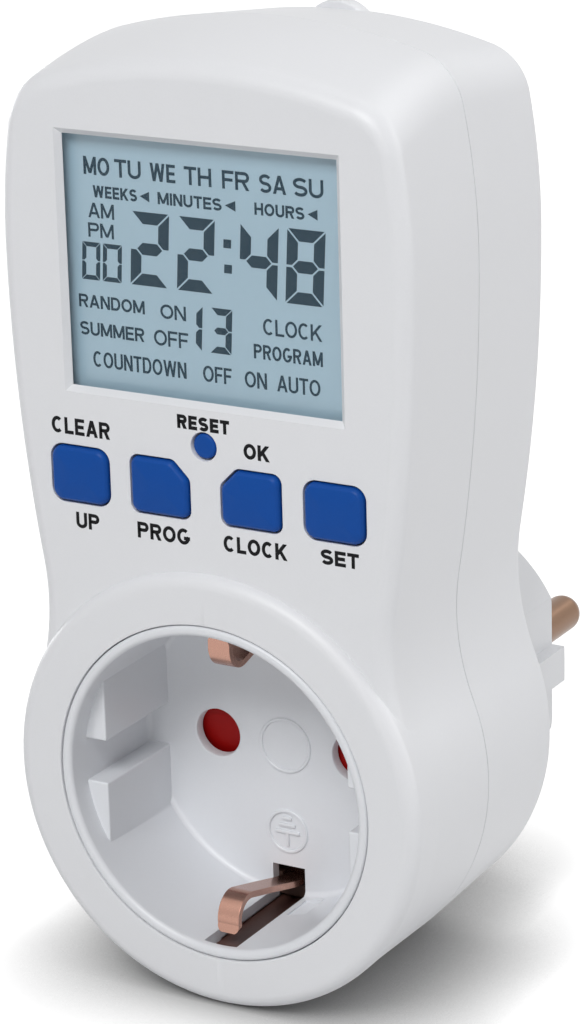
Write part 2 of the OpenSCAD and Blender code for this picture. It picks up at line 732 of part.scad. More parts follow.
module key(k) color("royalblue") {
    stations = concat([[y_key, key_edge_r + 0.9], [y_key + 0.12, key_edge_r]],
        [for (a = [60:-30:0]) [y_key + 0.12 + key_edge_r * (1 - sin(a)), key_edge_r * (1 - cos(a))]],
        [[y_key_flange + 0.1, 0]]);
    loft([for (s = stations) [for (p = key_outline(k[1], s[1])) [k[0] + p[0], s[0], key_z + p[1]]]]);
    slab(y_key_flange, y_key_back) translate([k[0], key_z]) polygon(key_outline(k[1], -key_flange));
}
module up_key() key(KEYS[0]);
module program_key() key(KEYS[1]);
module clock_key() key(KEYS[2]);
module set_key() key(KEYS[3]);

module reset_key() color("royalblue") at([0, reset_z]) {
    bar(reset_r, y_face + reset_recess, y_key_flange + 0.1);
    bar(reset_r + key_flange, y_key_flange, y_key_back);
}

// Silicone mat with a hollow dome under each key
module key_mat() color("lightgray") difference() {
    union() {
        slab(y_mat, y_board) {
            translate([0, key_z - 0.3]) plate2d(2 * outer_key_x + 7.2, 9.2);
            translate([0, reset_z + 0.1]) plate2d(2 * outer_key_x + 3.4, 5);
        }
        for (k = KEYS) at([k[0], key_z]) bar(dome_r, y_key_back + dome_gap, y_board - 0.1);
        at([0, reset_z]) bar(reset_dome_r, y_key_back + dome_gap, y_board - 0.1);
    }
    for (k = KEYS) at([k[0], key_z]) bar(dome_r - dome_wall, y_key_back + dome_gap + dome_wall, y_board + 1);
    at([0, reset_z]) bar(reset_dome_r - dome_wall, y_key_back + dome_gap + dome_wall, y_board + 1);
}

// ---- Boards and what is on them -----------------------------------------------------------

module board(from, to, inset, span, spots) difference() {
    slab(from, to) intersection() {
        polygon(outline(inset));
        translate([-ring_d, span[0]]) square([2 * ring_d, span[1] - span[0]]);
    }
    for (p = spots) at(p) bar(small_screw_r + 0.2, from - 1, to + 1);
}
module display_board() color("seagreen")
    board(y_board, y_board_back, wall_t + 0.5, display_board_z, board_screws_at);
module power_board() color("seagreen")
    board(y_power, y_power_back, rear_inset + 0.5, power_board_z, power_screws_at);

module display_board_screws() color("silver") for (p = board_screws_at) at(p) {
    bar(small_head_r, y_board_back, y_board_back + small_head_t);
    bar(small_screw_r, y_wall + 1, y_board_back + 0.1);
}
module power_board_screws() color("silver") for (p = power_screws_at) at(p) {
    bar(small_head_r, y_power - small_head_t, y_power);
    bar(small_screw_r, y_power - 0.1, y_rear_wall);
}
module housing_screws() color("silver") for (p = housing_screws_at) at(p) difference() {
    union() {
        bar(housing_head_r, y_screw_seat, y_screw_seat + housing_head_t);
        bar(housing_screw_r, y_screw_tip, y_screw_seat + 0.1);
    }
    slab(y_screw_seat + 0.6, y_rear) {
        plate2d(0.7, 2.8);
        plate2d(2.8, 0.7);
    }
}

module controller_chip() color("dimgray") at(chip_at) turned() polygon(concat([[0, y_board_back]],
    [for (a = [0:15:90]) [chip_r * cos(a), y_board_back + chip_h * sin(a)]]));

module crystal() color("silver") at(crystal_at) {
    translate([-crystal_len / 2, y_board_back + crystal_r + 0.2, 0]) rotate([0, 90, 0])
        cylinder(r = crystal_r, h = crystal_len);
    for (z = [-0.5, 0.5]) translate([crystal_len / 2 - 0.5, 0, z])
        bar(wire_r * 0.7, y_board_back, y_board_back + crystal_r);
}

module backup_cell() color("silver") at(cell_at) {
    translate([0, y_board_back, 0]) turned() polygon([[0, cell_tag_t], [cell_r - 0.5, cell_tag_t],
        [cell_r, cell_tag_t + 0.5], [cell_r, cell_h - 0.5], [cell_r - 0.5, cell_h], [0, cell_h]]);
    block(3, y_board_back, y_board_back + cell_tag_t + 0.1, -cell_r - 1.8, cell_r / 2);
}

module relay() color("royalblue") at(relay_at) slab(y_power - relay_h, y_power)
    polygon(soften([for (c = CORNERS) [c[0] * relay_w, c[1] * relay_d] / 2], 0.8));

module suppression_capacitor() color("gold") at(film_at) {
    block(film_w, y_power - film_h, y_power - 0.6, -film_d / 2, film_d / 2);
    for (x = [-1, 1]) translate([x * (film_w / 2 - 1.2), 0, 0]) bar(wire_r, y_power - 1, y_power);
}

// A can with a crimped groove near its foot
module smoothing_capacitor() color("darkslateblue") at(can_at) turned() polygon([[0, y_power - can_h],
    [can_r - 0.7, y_power - can_h], [can_r, y_power - can_h + 0.6], [can_r, y_power - 2.2],
    [can_r - 0.4, y_power - 1.9], [can_r, y_power - 1.6], [can_r, y_power], [0, y_power]]);

module varistor() color("steelblue") at(disc_at) {
    translate([0, y_power - disc_r - 1.2, -disc_t / 2]) cylinder(r = disc_r, h = disc_t);
    for (x = [-2.5, 2.5]) translate([x, 0, 0]) bar(wire_r, y_power - 2.6, y_power);
}

module axial_part(len, r) {
    foot = len / 2 + 1.6;
    translate([-len / 2, -r - wire_r, 0]) rotate([0, 90, 0]) cylinder(r = r, h = len);
    translate([-foot, -r - wire_r, 0]) rotate([0, 90, 0]) cylinder(r = wire_r, h = 2 * foot);
    for (x = [-foot, foot]) translate([x, 0, 0]) bar(wire_r, -r - 2 * wire_r, 0);
}
module fuse_resistor() color("darkkhaki") translate([fuse_at[0], y_power, fuse_at[1]])
    axial_part(fuse_len, fuse_r);
module rectifier_diodes() color("dimgray") for (i = [0:3])
    translate([diode_at[0] + diode_pitch * i, y_power, diode_at[1]]) rotate([0, 90, 0])
        axial_part(diode_len, diode_r);

// Flat cable that hangs in a bow between the boards
module ribbon_cable() color("lightgray") translate([ribbon_x, 0, 0]) across(ribbon_w) polygon(strip(
    cable([y_board_back, ribbon_z], [[y_board_back + 1, ribbon_z],
        [along(y_board_back, y_power, 0.22), ribbon_z - 3.2],
        [along(y_board_back, y_power, 0.5), ribbon_z - 5.6],
        [along(y_board_back, y_power, 0.78), ribbon_z - 5.2], [y_power - 1, ribbon_z - 2.4]],
        [y_power, ribbon_z - 2.4]), 0.5));

// ---- Leads ------------------------------------------------------------------------------

// Straight out of its start, smoothly through the points, straight into its end
function cable(from, points, to) = concat([from], smooth(points, 3), [to]);

lead_r = 0.9;
lead_z = 29.8;
lead_top = y_power - 2.5;
y_neutral_joint = along(y_pin_head, y_rear_wall, 0.66);
module line_lead() color("saddlebrown") wire(cable([contact_x, y_pin_head, 0],
    [[contact_x, y_pin_head - 1, 0], [9, along(y_pin_head, y_rear_wall, 0.28), 1.4],
        [7.2, along(y_pin_head, y_rear_wall, 0.54), 5], [5.2, along(y_pin_head, y_rear_wall, 0.85), 9],
        [5, y_tab - 1.5, 14.4], [6.4, lead_top, 22], [7.2, lead_top, 27], [7.4, y_power - 1, lead_z]],
    [7.4, y_power, lead_z]), lead_r, [1, 0, 0]);
module load_lead() color("black") wire(cable([contact_x, y_tab, 6.2],
    [[contact_x, y_tab - 1, 6.2], [10, y_power - 0.3, 9], [10.8, lead_top, 14], [12, lead_top - 1, 21],
        [12.6, lead_top, 27], [12.8, y_power - 1, lead_z]],
    [12.8, y_power, lead_z]), lead_r, [1, 0, 0]);
module neutral_lead() color("mediumblue") wire(cable([-contact_x, y_neutral_joint, sleeve_r + 0.6],
    [[-contact_x, y_neutral_joint, sleeve_r + 1.6], [-9, along(y_pin_head, y_rear_wall, 0.75), 7],
        [-7.6, y_rear_wall, 10], [-7.2, y_tab - 2.3, 14], [-8, lead_top, 21], [-8.8, lead_top, 27],
        [-9, y_power - 1, lead_z]],
    [-9, y_power, lead_z]), lead_r, [1, 0, 0]);

front_cover();
rear_cover();
socket_insert();
contact_carrier();
carrier_screws();
safety_shutter();
shutter_spring();
socket_earth_clips();
earth_pillar();
line_contact();
neutral_contact();
pin_holder();
line_pin();
neutral_pin();
plug_earth_bracket();
display_window();
lcd_glass();
lcd_reflector();
lcd_holder();
zebra_strips();
key_mat();
up_key();
program_key();
clock_key();
set_key();
reset_key();
display_board();
display_board_screws();
controller_chip();
crystal();
backup_cell();
power_board();
power_board_screws();
relay();
suppression_capacitor();
smoothing_capacitor();
varistor();
fuse_resistor();
rectifier_diodes();
ribbon_cable();
line_lead();
load_lead();
neutral_lead();
housing_screws();
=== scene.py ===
"""The looks of a plug-in timer switch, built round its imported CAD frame.

The front faces -Y, the plug points to +Y and +Z is up. Lengths are in millimetres until a mesh
is made; only the studio's lamps and floor are in metres.
"""

import math

import bmesh
import bpy
from mathutils import Matrix, Vector

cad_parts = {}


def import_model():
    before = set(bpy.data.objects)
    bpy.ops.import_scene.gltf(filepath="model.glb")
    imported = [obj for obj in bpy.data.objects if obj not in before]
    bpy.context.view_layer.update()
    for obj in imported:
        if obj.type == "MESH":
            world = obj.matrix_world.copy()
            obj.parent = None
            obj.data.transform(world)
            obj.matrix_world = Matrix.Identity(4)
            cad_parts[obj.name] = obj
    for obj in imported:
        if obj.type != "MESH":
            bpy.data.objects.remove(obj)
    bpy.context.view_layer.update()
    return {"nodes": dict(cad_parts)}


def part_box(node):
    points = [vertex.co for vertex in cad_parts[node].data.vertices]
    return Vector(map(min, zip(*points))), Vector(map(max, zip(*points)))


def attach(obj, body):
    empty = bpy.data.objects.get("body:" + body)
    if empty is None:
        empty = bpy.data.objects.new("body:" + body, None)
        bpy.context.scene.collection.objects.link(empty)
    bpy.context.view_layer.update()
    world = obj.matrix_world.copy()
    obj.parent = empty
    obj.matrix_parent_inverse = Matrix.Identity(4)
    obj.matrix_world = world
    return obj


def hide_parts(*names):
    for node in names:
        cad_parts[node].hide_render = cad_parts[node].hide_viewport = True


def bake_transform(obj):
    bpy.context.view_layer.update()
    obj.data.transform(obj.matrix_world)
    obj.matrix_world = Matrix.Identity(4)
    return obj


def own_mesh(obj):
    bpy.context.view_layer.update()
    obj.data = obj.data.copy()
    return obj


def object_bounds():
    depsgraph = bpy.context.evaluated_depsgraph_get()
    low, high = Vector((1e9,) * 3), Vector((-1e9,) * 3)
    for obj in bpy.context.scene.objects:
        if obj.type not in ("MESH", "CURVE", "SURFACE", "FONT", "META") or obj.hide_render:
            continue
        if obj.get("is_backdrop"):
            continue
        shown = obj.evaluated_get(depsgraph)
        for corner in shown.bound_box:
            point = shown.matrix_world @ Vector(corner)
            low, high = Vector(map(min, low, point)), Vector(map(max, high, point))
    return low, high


MM = 0.001

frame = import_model()


def low(node):
    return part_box(node)[0] / MM


def high(node):
    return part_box(node)[1] / MM


def middle(node):
    return (low(node) + high(node)) / 2


# ---- Driving dimensions ----

# Depths: the raised ring is foremost, then the face, the parting line and the flat back
RING_H = 1.2
FRONT_DEPTH = 18.1
HOUSING_DEPTH = 36.3
WELL_DEPTH = 17.5
WALL = 2.2
PARTING_EDGE = 0.04
PARTING_GAP = 0.11
Y_RING = low("front_cover").y
Y_FACE = Y_RING + RING_H
Y_WALL = Y_FACE + WALL
Y_PART = Y_RING + FRONT_DEPTH
Y_REAR = Y_RING + HOUSING_DEPTH
Y_REAR_WALL = Y_REAR - WALL
Y_FLOOR = Y_RING + WELL_DEPTH
Y_FLOOR_BACK = low("contact_carrier").y
Y_PLUG = high("rear_cover").y
Y_BOARD = low("display_board").y
Y_POWER_BACK = high("power_board").y

# Outline of the housing at the face: drum, top and widest place, and the radii of the arcs that
# run into one another
RING_R = 27.1
DRUM_R = RING_R - 0.15
HEAD_TOP = 86.2
HEAD_HALF_W = 26.7
WIDEST_Z = 63
FLANK_R = 230
SHOULDER_R = 88
CORNER_R = 7.5
CROWN_R = 74
WAIST_R = 30

# The top rises from the face to the parting line and falls from there to the rear; the drum grows
# larger towards the rear and the rear cover narrows
HEAD_RISE = 2.7
HEAD_FALL = 1.6
DRUM_FLARE = 0.5
REAR_DRAFT = 0.7

EDGE_R = 2
REAR_EDGE_R = 1.2
RING_EDGE_R = 1.8
NUB_R = 4.8
NUB_RISE = 1.2

# Socket
INSERT_HOLE_R = 20.9
INSERT_R = 20.8
WELL_R = 19.5
RIM_R = 0.45
CONTACT_X = 9.5
HOLE_R = 3
GUIDE_FLAT = 16.5
GUIDE_CHANNEL = 5.4
GUIDE_SET_BACK = 3.3
SLOT_W = 4.5
SLOT_LOW = 15.8
SLOT_FRONT = 1
CLIP_W = 2.9
CLIP_T = 0.8
CLIP_Z = 17.9
HOOK_Y = Y_RING + 5.8
HOOK_Z = 17.3
HOOK_R = 2.5
SHUTTER_PLAY = 0.25
COLLAR_H = 3
Y_SHUTTER_BACK = high("safety_shutter").y
Y_CARRIER = Y_SHUTTER_BACK + SHUTTER_PLAY
Y_CARRIER_BACK = high("contact_carrier").y - COLLAR_H

# Display
VIEW_W = 35.6
VIEW_H = 29.6
VIEW_Z = middle("lcd_glass").z
VIEW_BEVEL = 0.7
Y_WINDOW = low("display_window").y
Y_GLASS = low("lcd_glass").y

# Keys
KEY_W = 7.7
KEY_H = 6.7
KEY_GAP = 0.2
KEY_NOTCH = 2.1
KEY_EDGE_R = 0.9
KEY_CORNER_R = 1.5
KEY_FLANGE = 0.5
RESET_R = 1.5

# Plug
PLUG_R = 18.6
PLUG_FLAT = 16.2
PLUG_FLAT_H = 17.6
PLUG_RIB_W = 4.6
PLUG_RIB_OUT = 18
PLUG_DEPTH = 17.5
PLUG_EDGE_R = 0.8
BOSS_HOLE_R = 14.2
GROOVE_W = 6
EARTH_LEG_Z = 16.6
EARTH_LEG_T = 0.8
PIN_R = 2.4
PIN_NECK_R = 2.2
PIN_COLLAR_R = 3.2
PIN_COLLAR_T = 1.4
PIN_RING_R = 3.3
PIN_RING_H = 0.5


# ---- Mesh helpers ----


def linked(data, name="part"):
    """A new object in the scene."""
    piece = bpy.data.objects.new(name, data)
    bpy.context.scene.collection.objects.link(piece)
    return piece


def new_piece(points, faces):
    """A mesh object from points in millimetres, with its faces turned outwards."""
    mesh = bpy.data.meshes.new("part")
    mesh.from_pydata([Vector(p) * MM for p in points], [], faces)
    work = bmesh.new()
    work.from_mesh(mesh)
    bmesh.ops.recalc_face_normals(work, faces=work.faces)
    work.to_mesh(mesh)
    work.free()
    return linked(mesh)


def loft(rings):
    """A closed solid through rings of equally many points."""
    n = len(rings[0])
    faces = [tuple(range(n)), tuple(range((len(rings) - 1) * n, len(rings) * n))]
    for k in range(len(rings) - 1):
        for i in range(n):
            j = (i + 1) % n
            faces.append((k * n + i, k * n + j, k * n + n + j, k * n + n + i))
    return new_piece([p for ring in rings for p in ring], faces)


def slab(outline, y0, y1):
    """A flat shape in x and z, from one depth to another."""
    return loft([[(x, y, z) for x, z in outline] for y in (y0, y1)])


def block(x0, x1, y0, y1, z0, z1):
    return slab([(x0, z0), (x1, z0), (x1, z1), (x0, z1)], y0, y1)


def turned(profile, steps=160):
    """A closed profile in radius and y, turned about the socket's axis."""
    points, rows, faces = [], [], []
    for r, y in profile:
        if r < 1e-6:
            rows.append([len(points)] * steps)
            points.append((0, y, 0))
        else:
            rows.append([len(points) + i for i in range(steps)])
            angles = [2 * math.pi * i / steps for i in range(steps)]
            points += [(r * math.cos(a), y, r * math.sin(a)) for a in angles]
    for k in range(len(rows)):
        a, b = rows[k], rows[(k + 1) % len(rows)]
        for i in range(steps):
            j = (i + 1) % steps
            face = list(dict.fromkeys((a[i], a[j], b[j], b[i])))
            if len(face) > 2:
                faces.append(face)
    return new_piece(points, faces)


def bar(r, y0, y1, at=(0, 0), steps=48):
    """A round bar along y, centred on at in x and z."""
    circle = arc(at, r, 0, 360 - 360 / steps, steps - 1)
    return slab([(at[0] + r, at[1])] + circle, y0, y1)


def bars(r, y0, y1, places, steps=24):
    return [bar(r, y0, y1, at, steps) for at in places]


def moved(piece, x=0, z=0):
    piece.data.transform(Matrix.Translation(Vector((x, 0, z)) * MM))
    return piece


def upside_down(piece):
    piece.data.transform(Matrix.Scale(-1, 4, (0, 0, 1)))
    piece.data.flip_normals()
    return piece


def both_ways(make):
    """Two pieces from one function, the second turned half a turn about the socket's axis."""
    pieces = [make(), make()]
    pieces[1].data.transform(Matrix.Rotation(math.pi, 4, "Y"))
    return pieces


def applied(piece):
    """The piece with its modifiers made part of its mesh."""
    bpy.context.view_layer.update()
    graph = bpy.context.evaluated_depsgraph_get()
    mesh = bpy.data.meshes.new_from_object(piece.evaluated_get(graph))
    old = piece.data
    piece.modifiers.clear()
    piece.data = mesh
    bpy.data.meshes.remove(old)
    return piece


def combined(piece, operation, tools):
    for tool in tools:
        modifier = piece.modifiers.new("combine", "BOOLEAN")
        modifier.operation = operation
        modifier.solver = "EXACT"
        modifier.object = tool
    applied(piece)
    for tool in tools:
        bpy.data.objects.remove(tool)
    return piece


def cut(piece, *tools):
    return combined(piece, "DIFFERENCE", tools)


def merged(piece, *tools):
    return combined(piece, "UNION", tools)


def joined(pieces):
    """Several meshes as one object, without any union."""
    work = bmesh.new()
    for piece in pieces:
        work.from_mesh(piece.data)
        bpy.data.objects.remove(piece)
    mesh = bpy.data.meshes.new("part")
    work.to_mesh(mesh)
    work.free()
    return linked(mesh)


def bevelled(piece, width, segments=3):
    modifier = piece.modifiers.new("edges", "BEVEL")
    modifier.width = width * MM
    modifier.segments = segments
    modifier.limit_method = "ANGLE"
    modifier.angle_limit = math.radians(30)
    return applied(piece)


def smooth(piece, angle=34):
    """Smooth shading, sharp at the real edges and even on the flat faces."""
    piece.data.shade_smooth()
    piece.data.set_sharp_from_angle(angle=math.radians(angle))
    modifier = piece.modifiers.new("even_normals", "WEIGHTED_NORMAL")
    modifier.keep_sharp = True
    return piece


def dressed(piece, name, material, body="housing", replaces=()):
    """Names the piece, paints it and lets it ride on its body, if it has one."""
    piece.name = name
    piece.data.name = name
    piece.data.materials.clear()
    piece.data.materials.append(material)
    if body:
        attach(piece, body)
    if replaces:
        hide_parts(*replaces)
    return piece


# ---- Plane geometry ----


def bearing(a, b):
    return math.degrees(math.atan2(b[1] - a[1], b[0] - a[0]))


def meet(a, da, b, db):
    """The point da from a and db from b, on the right of the way from a to b."""
    d = math.dist(a, b)
    u = ((b[0] - a[0]) / d, (b[1] - a[1]) / d)
    along = (da * da - db * db + d * d) / (2 * d)
    side = math.sqrt(da * da - along * along)
    return (a[0] + along * u[0] + side * u[1], a[1] + along * u[1] - side * u[0])


def arc(centre, r, start, end, steps):
    """Points along an arc, without its first one. Angles are in degrees."""
    angles = [math.radians(start + (end - start) * i / steps) for i in range(1, steps + 1)]
    return [(centre[0] + r * math.cos(a), centre[1] + r * math.sin(a)) for a in angles]


def quarter(step, first=0):
    """The angles of a quarter turn in radians, every step degrees."""
    return [math.radians(d) for d in range(first, 91, step)]


def hole_profile(r, edge, y, y_end):
    """A round hole from the depth y to y_end, for turned: its mouth is wider by a softened edge."""
    return [(0, y - 1), (r + edge, y - 1), (r + edge, y), (r + edge * 0.3, y + edge * 0.3),
            (r, y + edge), (r, y_end), (0, y_end)]


def softened(corners, r, steps=4):
    """A convex outline with its corners rounded."""
    points = []
    for i, c in enumerate(corners):
        c = Vector(c)
        a = (Vector(corners[i - 1]) - c).normalized()
        b = (Vector(corners[(i + 1) % len(corners)]) - c).normalized()
        half = a.angle(b) / 2
        centre = c + (a + b).normalized() * r / math.sin(half)
        reach = r / math.tan(half)
        start = bearing(centre, c + a * reach)
        sweep = (bearing(centre, c + b * reach) - start + 540) % 360 - 180
        points += arc(centre, r, start - sweep / steps, start + sweep, steps + 1)
    return points


def strip(path, t):
    """The outline of a strip of thickness t along a path."""
    way = [(Vector(b) - Vector(a)).normalized() for a, b in zip(path, path[1:])]
    sides = []
    for i in range(len(path)):
        b = way[min(i, len(way) - 1)]
        mean = (way[max(i - 1, 0)] + b).normalized()
        sides.append(Vector((-mean.y, mean.x)) * t / 2 / mean.dot(b))
    out = [Vector(p) + s for p, s in zip(path, sides)]
    back = [Vector(p) - s for p, s in zip(path, sides)]
    return [tuple(p) for p in out + back[::-1]]


FLANK_C = (HEAD_HALF_W - FLANK_R, WIDEST_Z)
SHOULDER_C = (HEAD_HALF_W - SHOULDER_R, WIDEST_Z)


def top_rise(y):
    """How much higher the top is at the depth y than at the face."""
    if y < Y_PART:
        return HEAD_RISE * math.sin(math.pi / 2 * (y - Y_FACE) / (Y_PART - Y_FACE))
    return HEAD_RISE - HEAD_FALL * (y - Y_PART) / (Y_REAR - Y_PART)


def head_outline(inset, y):
    """The housing's outline in x and z at the depth y, moved inwards by inset."""
    drum_r = DRUM_R + DRUM_FLARE * (y - Y_FACE) / (Y_REAR - Y_FACE)
    crown_c = (0, HEAD_TOP + top_rise(y) - CROWN_R)
    waist_c = meet((0, 0), drum_r + WAIST_R, FLANK_C, FLANK_R + WAIST_R)
    corner_c = meet(crown_c, CROWN_R - CORNER_R, SHOULDER_C, SHOULDER_R - CORNER_R)
    half = [(0, inset - drum_r)]
    half += arc((0, 0), drum_r - inset, -90, bearing((0, 0), waist_c), 60)
    start = bearing(waist_c, (0, 0)) + 360
    half += arc(waist_c, WAIST_R + inset, start, bearing(waist_c, FLANK_C), 24)
    half += arc(FLANK_C, FLANK_R - inset, bearing(FLANK_C, waist_c), 0, 18)
    half += arc(SHOULDER_C, SHOULDER_R - inset, 0, bearing(SHOULDER_C, corner_c), 12)
    start = bearing(SHOULDER_C, corner_c)
    half += arc(corner_c, CORNER_R - inset, start, bearing(crown_c, corner_c), 20)
    half += arc(crown_c, CROWN_R - inset, bearing(crown_c, corner_c), 90, 14)
    return half + [(-x, z) for x, z in half[-2:0:-1]]


def skin(stations):
    """A solid through the housing's outline at (depth, inset) stations."""
    return loft([[(x, y, z) for x, z in head_outline(inset, y)] for y, inset in stations])


def rounded(y, inset, r, steps, outwards=1):
    """Stations of a rounded edge: it starts flat on depth y and ends on the side, r further on."""
    stations = []
    for i in range(steps + 1):
        a = math.radians(90 - 90 * i / steps)
        depth = y + outwards * r * (1 - math.sin(a))
        stations.append((depth, inset + r * (1 - math.cos(a))))
    return stations


# ---- Materials ----


def feed(tree, socket, value):
    """Sets an input of a node, or links the socket that feeds it."""
    if isinstance(value, bpy.types.NodeSocket):
        tree.links.new(value, socket)
    else:
        socket.default_value = value


def fed(tree, node, **inputs):
    for name, value in inputs.items():
        feed(tree, node.inputs[name.replace("_", " ")], value)
    return node


def made(tree, kind, **inputs):
    return fed(tree, tree.nodes.new(kind), **inputs)


def maths(tree, operation, *inputs):
    """The value of a Math node."""
    node = tree.nodes.new("ShaderNodeMath")
    node.operation = operation
    for socket, value in zip(node.inputs, inputs):
        feed(tree, socket, value)
    return node.outputs[0]


# The size of the broad grain, and the part of the noise's range that the looks answer to
BROAD_GRAIN = 25
NOISE_LOW = 0.3
NOISE_HIGH = 0.7


def surface(name, colour, roughness, grain=0.3, relief=0.006, spread=0.03, stretch=(1, 1, 1),
            **sockets):
    """A shader with grain: it varies the colour a little, the roughness, and the relief.

    grain is the size of the fine grain and relief its height; spread is the share by which the
    colour varies.
    """
    material = bpy.data.materials.new(name)
    material.use_nodes = True
    tree = material.node_tree

    def noise(vector, size, detail):
        node = made(tree, "ShaderNodeTexNoise", Vector=vector, Scale=1 / (size * MM), Detail=detail)
        return node.outputs["Fac"]

    place = tree.nodes.new("ShaderNodeTexCoord").outputs["Object"]
    scaled = made(tree, "ShaderNodeMapping", Vector=place, Scale=stretch)
    fine = noise(scaled.outputs["Vector"], grain, 2)
    broad = noise(place, BROAD_GRAIN, 3)
    blend = maths(tree, "MULTIPLY_ADD", fine, 0.5, maths(tree, "MULTIPLY", broad, 0.5))

    ramp = made(tree, "ShaderNodeValToRGB", Fac=blend)
    darker, lighter = ramp.color_ramp.elements
    darker.position, lighter.position = NOISE_LOW, NOISE_HIGH
    darker.color = [c * (1 - spread) for c in colour] + [1]
    lighter.color = [min(1, c * (1 + spread)) for c in colour] + [1]
    gloss = made(tree, "ShaderNodeMapRange", Value=blend, From_Min=NOISE_LOW, From_Max=NOISE_HIGH,
                 To_Min=roughness * 0.9, To_Max=min(1, roughness * 1.1))
    bump = made(tree, "ShaderNodeBump", Height=fine, Strength=0.5, Distance=relief * MM)
    fed(tree, tree.nodes["Principled BSDF"], Base_Color=ramp.outputs["Color"],
        Roughness=gloss.outputs["Result"], Normal=bump.outputs["Normal"], **sockets)
    return material


def srgb(r, g, b):
    """A screen colour, 0 to 255, as the linear colour that a shader takes."""
    return [((c / 255 + 0.055) / 1.055) ** 2.4 if c > 10 else c / 255 / 12.92 for c in (r, g, b)]


HOUSING = surface("housing_plastic", srgb(226, 227, 230), 0.42, grain=0.22, relief=0.012,
                  spread=0.012)
INSERT = surface("insert_plastic", srgb(224, 226, 230), 0.36, relief=0.008, spread=0.01)
KEY = surface("key_plastic", srgb(12, 72, 152), 0.42, grain=0.2, relief=0.008, spread=0.05,
              Specular_IOR_Level=0.16)
COPPER = surface("copper_alloy", srgb(184, 142, 126), 0.27, grain=0.25, relief=0.01, spread=0.12,
                 stretch=(6, 1, 1), Metallic=1.0)
PIN = surface("pin_metal", srgb(134, 106, 86), 0.3, grain=0.2, relief=0.008, spread=0.08,
              stretch=(1, 8, 1), Metallic=1.0)
SPRING = surface("spring_steel", srgb(176, 178, 182), 0.28, spread=0.08, Metallic=1.0)
SILICONE = surface("silicone", srgb(196, 196, 192), 0.6)
# The earth slots' brown bottoms: the carrier's brown, put there partly as painted shade of the deep
# slots
SHADE_LINING = surface("slot_shade_lining", srgb(88, 58, 50), 0.5)
PRINT = surface("label_ink", srgb(10, 10, 13), 0.6, spread=0.1, Specular_IOR_Level=0.15)
SEGMENT = surface("lcd_segments", srgb(34, 58, 72), 0.5, grain=0.12, relief=0.001, spread=0.05,
                  Specular_IOR_Level=0.15)

# What each CAD piece is made of
FINISHES = [
    (HOUSING, ["front_cover", "rear_cover"]),
    (INSERT, ["socket_insert"]),
    (KEY, ["up_key", "program_key", "clock_key", "set_key", "reset_key"]),
    (COPPER, ["socket_earth_clips", "plug_earth_bracket"]),
    (PIN, ["line_pin", "neutral_pin"]),
    (SPRING, ["shutter_spring"]),
    (SILICONE, ["key_mat"]),
    (surface("carrier_plastic", srgb(70, 49, 41), 0.5), ["contact_carrier", "pin_holder"]),
    (surface("shutter_plastic", srgb(158, 12, 10), 0.45, spread=0.05, Specular_IOR_Level=0.2),
     ["safety_shutter"]),
    (surface("brass", srgb(206, 176, 110), 0.3, spread=0.08, Metallic=1.0),
     ["earth_pillar", "line_contact", "neutral_contact"]),
    (surface("zinc_steel", srgb(190, 192, 196), 0.32, spread=0.08, Metallic=1.0),
     ["housing_screws", "carrier_screws", "display_board_screws", "power_board_screws", "crystal",
      "backup_cell"]),
    (surface("clear_plastic", srgb(240, 246, 248), 0.06, relief=0.0005, spread=0.005, Alpha=0.03),
     ["display_window"]),
    (surface("lcd_cell", srgb(160, 187, 202), 0.3, grain=0.12, relief=0.001, spread=0.012,
             Coat_Weight=0.4, Coat_Roughness=0.08), ["lcd_glass"]),
    (surface("reflector_foil", srgb(200, 202, 204), 0.25), ["lcd_reflector"]),
    (surface("white_plastic", srgb(228, 228, 226), 0.45), ["lcd_holder"]),
    (surface("dark_rubber", srgb(60, 60, 62), 0.8), ["zebra_strips"]),
    (surface("circuit_board", srgb(28, 104, 62), 0.4, grain=1.2, relief=0.02, spread=0.12),
     ["display_board", "power_board"]),
    (surface("black_resin", srgb(26, 26, 28), 0.35), ["controller_chip", "rectifier_diodes"]),
    (surface("relay_case", srgb(46, 92, 168), 0.4), ["relay"]),
    (surface("film_yellow", srgb(216, 184, 70), 0.4), ["suppression_capacitor"]),
    (surface("sleeve_violet", srgb(66, 60, 120), 0.4), ["smoothing_capacitor"]),
    (surface("disc_blue", srgb(60, 120, 176), 0.45), ["varistor"]),
    (surface("lacquer_beige", srgb(196, 176, 138), 0.5), ["fuse_resistor"]),
    (surface("cable_grey", srgb(176, 176, 178), 0.5), ["ribbon_cable"]),
    (surface("wire_brown", srgb(98, 62, 40), 0.45), ["line_lead"]),
    (surface("wire_black", srgb(30, 30, 32), 0.45), ["load_lead"]),
    (surface("wire_blue", srgb(40, 96, 176), 0.45), ["neutral_lead"]),
]


def finish_nodes():
    for material, names in FINISHES:
        for piece in [frame["nodes"][name] for name in names]:
            if not piece.material_slots:
                piece.data.materials.append(material)
            for place in piece.material_slots:
                place.material = material


# ---- Housing ----

LIP_H = 1.5
LIP_INSET = WALL / 2
SEAT_GAP = 0.1

# The four housing screws go from the rear through tubes into pillars on the front cover
PILLAR_R = 2
PILLAR_HOLE_R = 1.15
PILLAR_HOLE_DEPTH = 9
SCREW_TUBE_R = 3.4
SCREW_HOLE_R = 1.3
SCREW_RECESS_R = 2.5
SCREW_RECESS = 5.5
SCREW_HEAD_R = 2.2
TOP_SCREW_Z = high("housing_screws").z - SCREW_HEAD_R
SCREWS_AT = [(9, TOP_SCREW_Z), (-9, TOP_SCREW_Z), (17.6, 21.5), (-17.6, 21.5)]

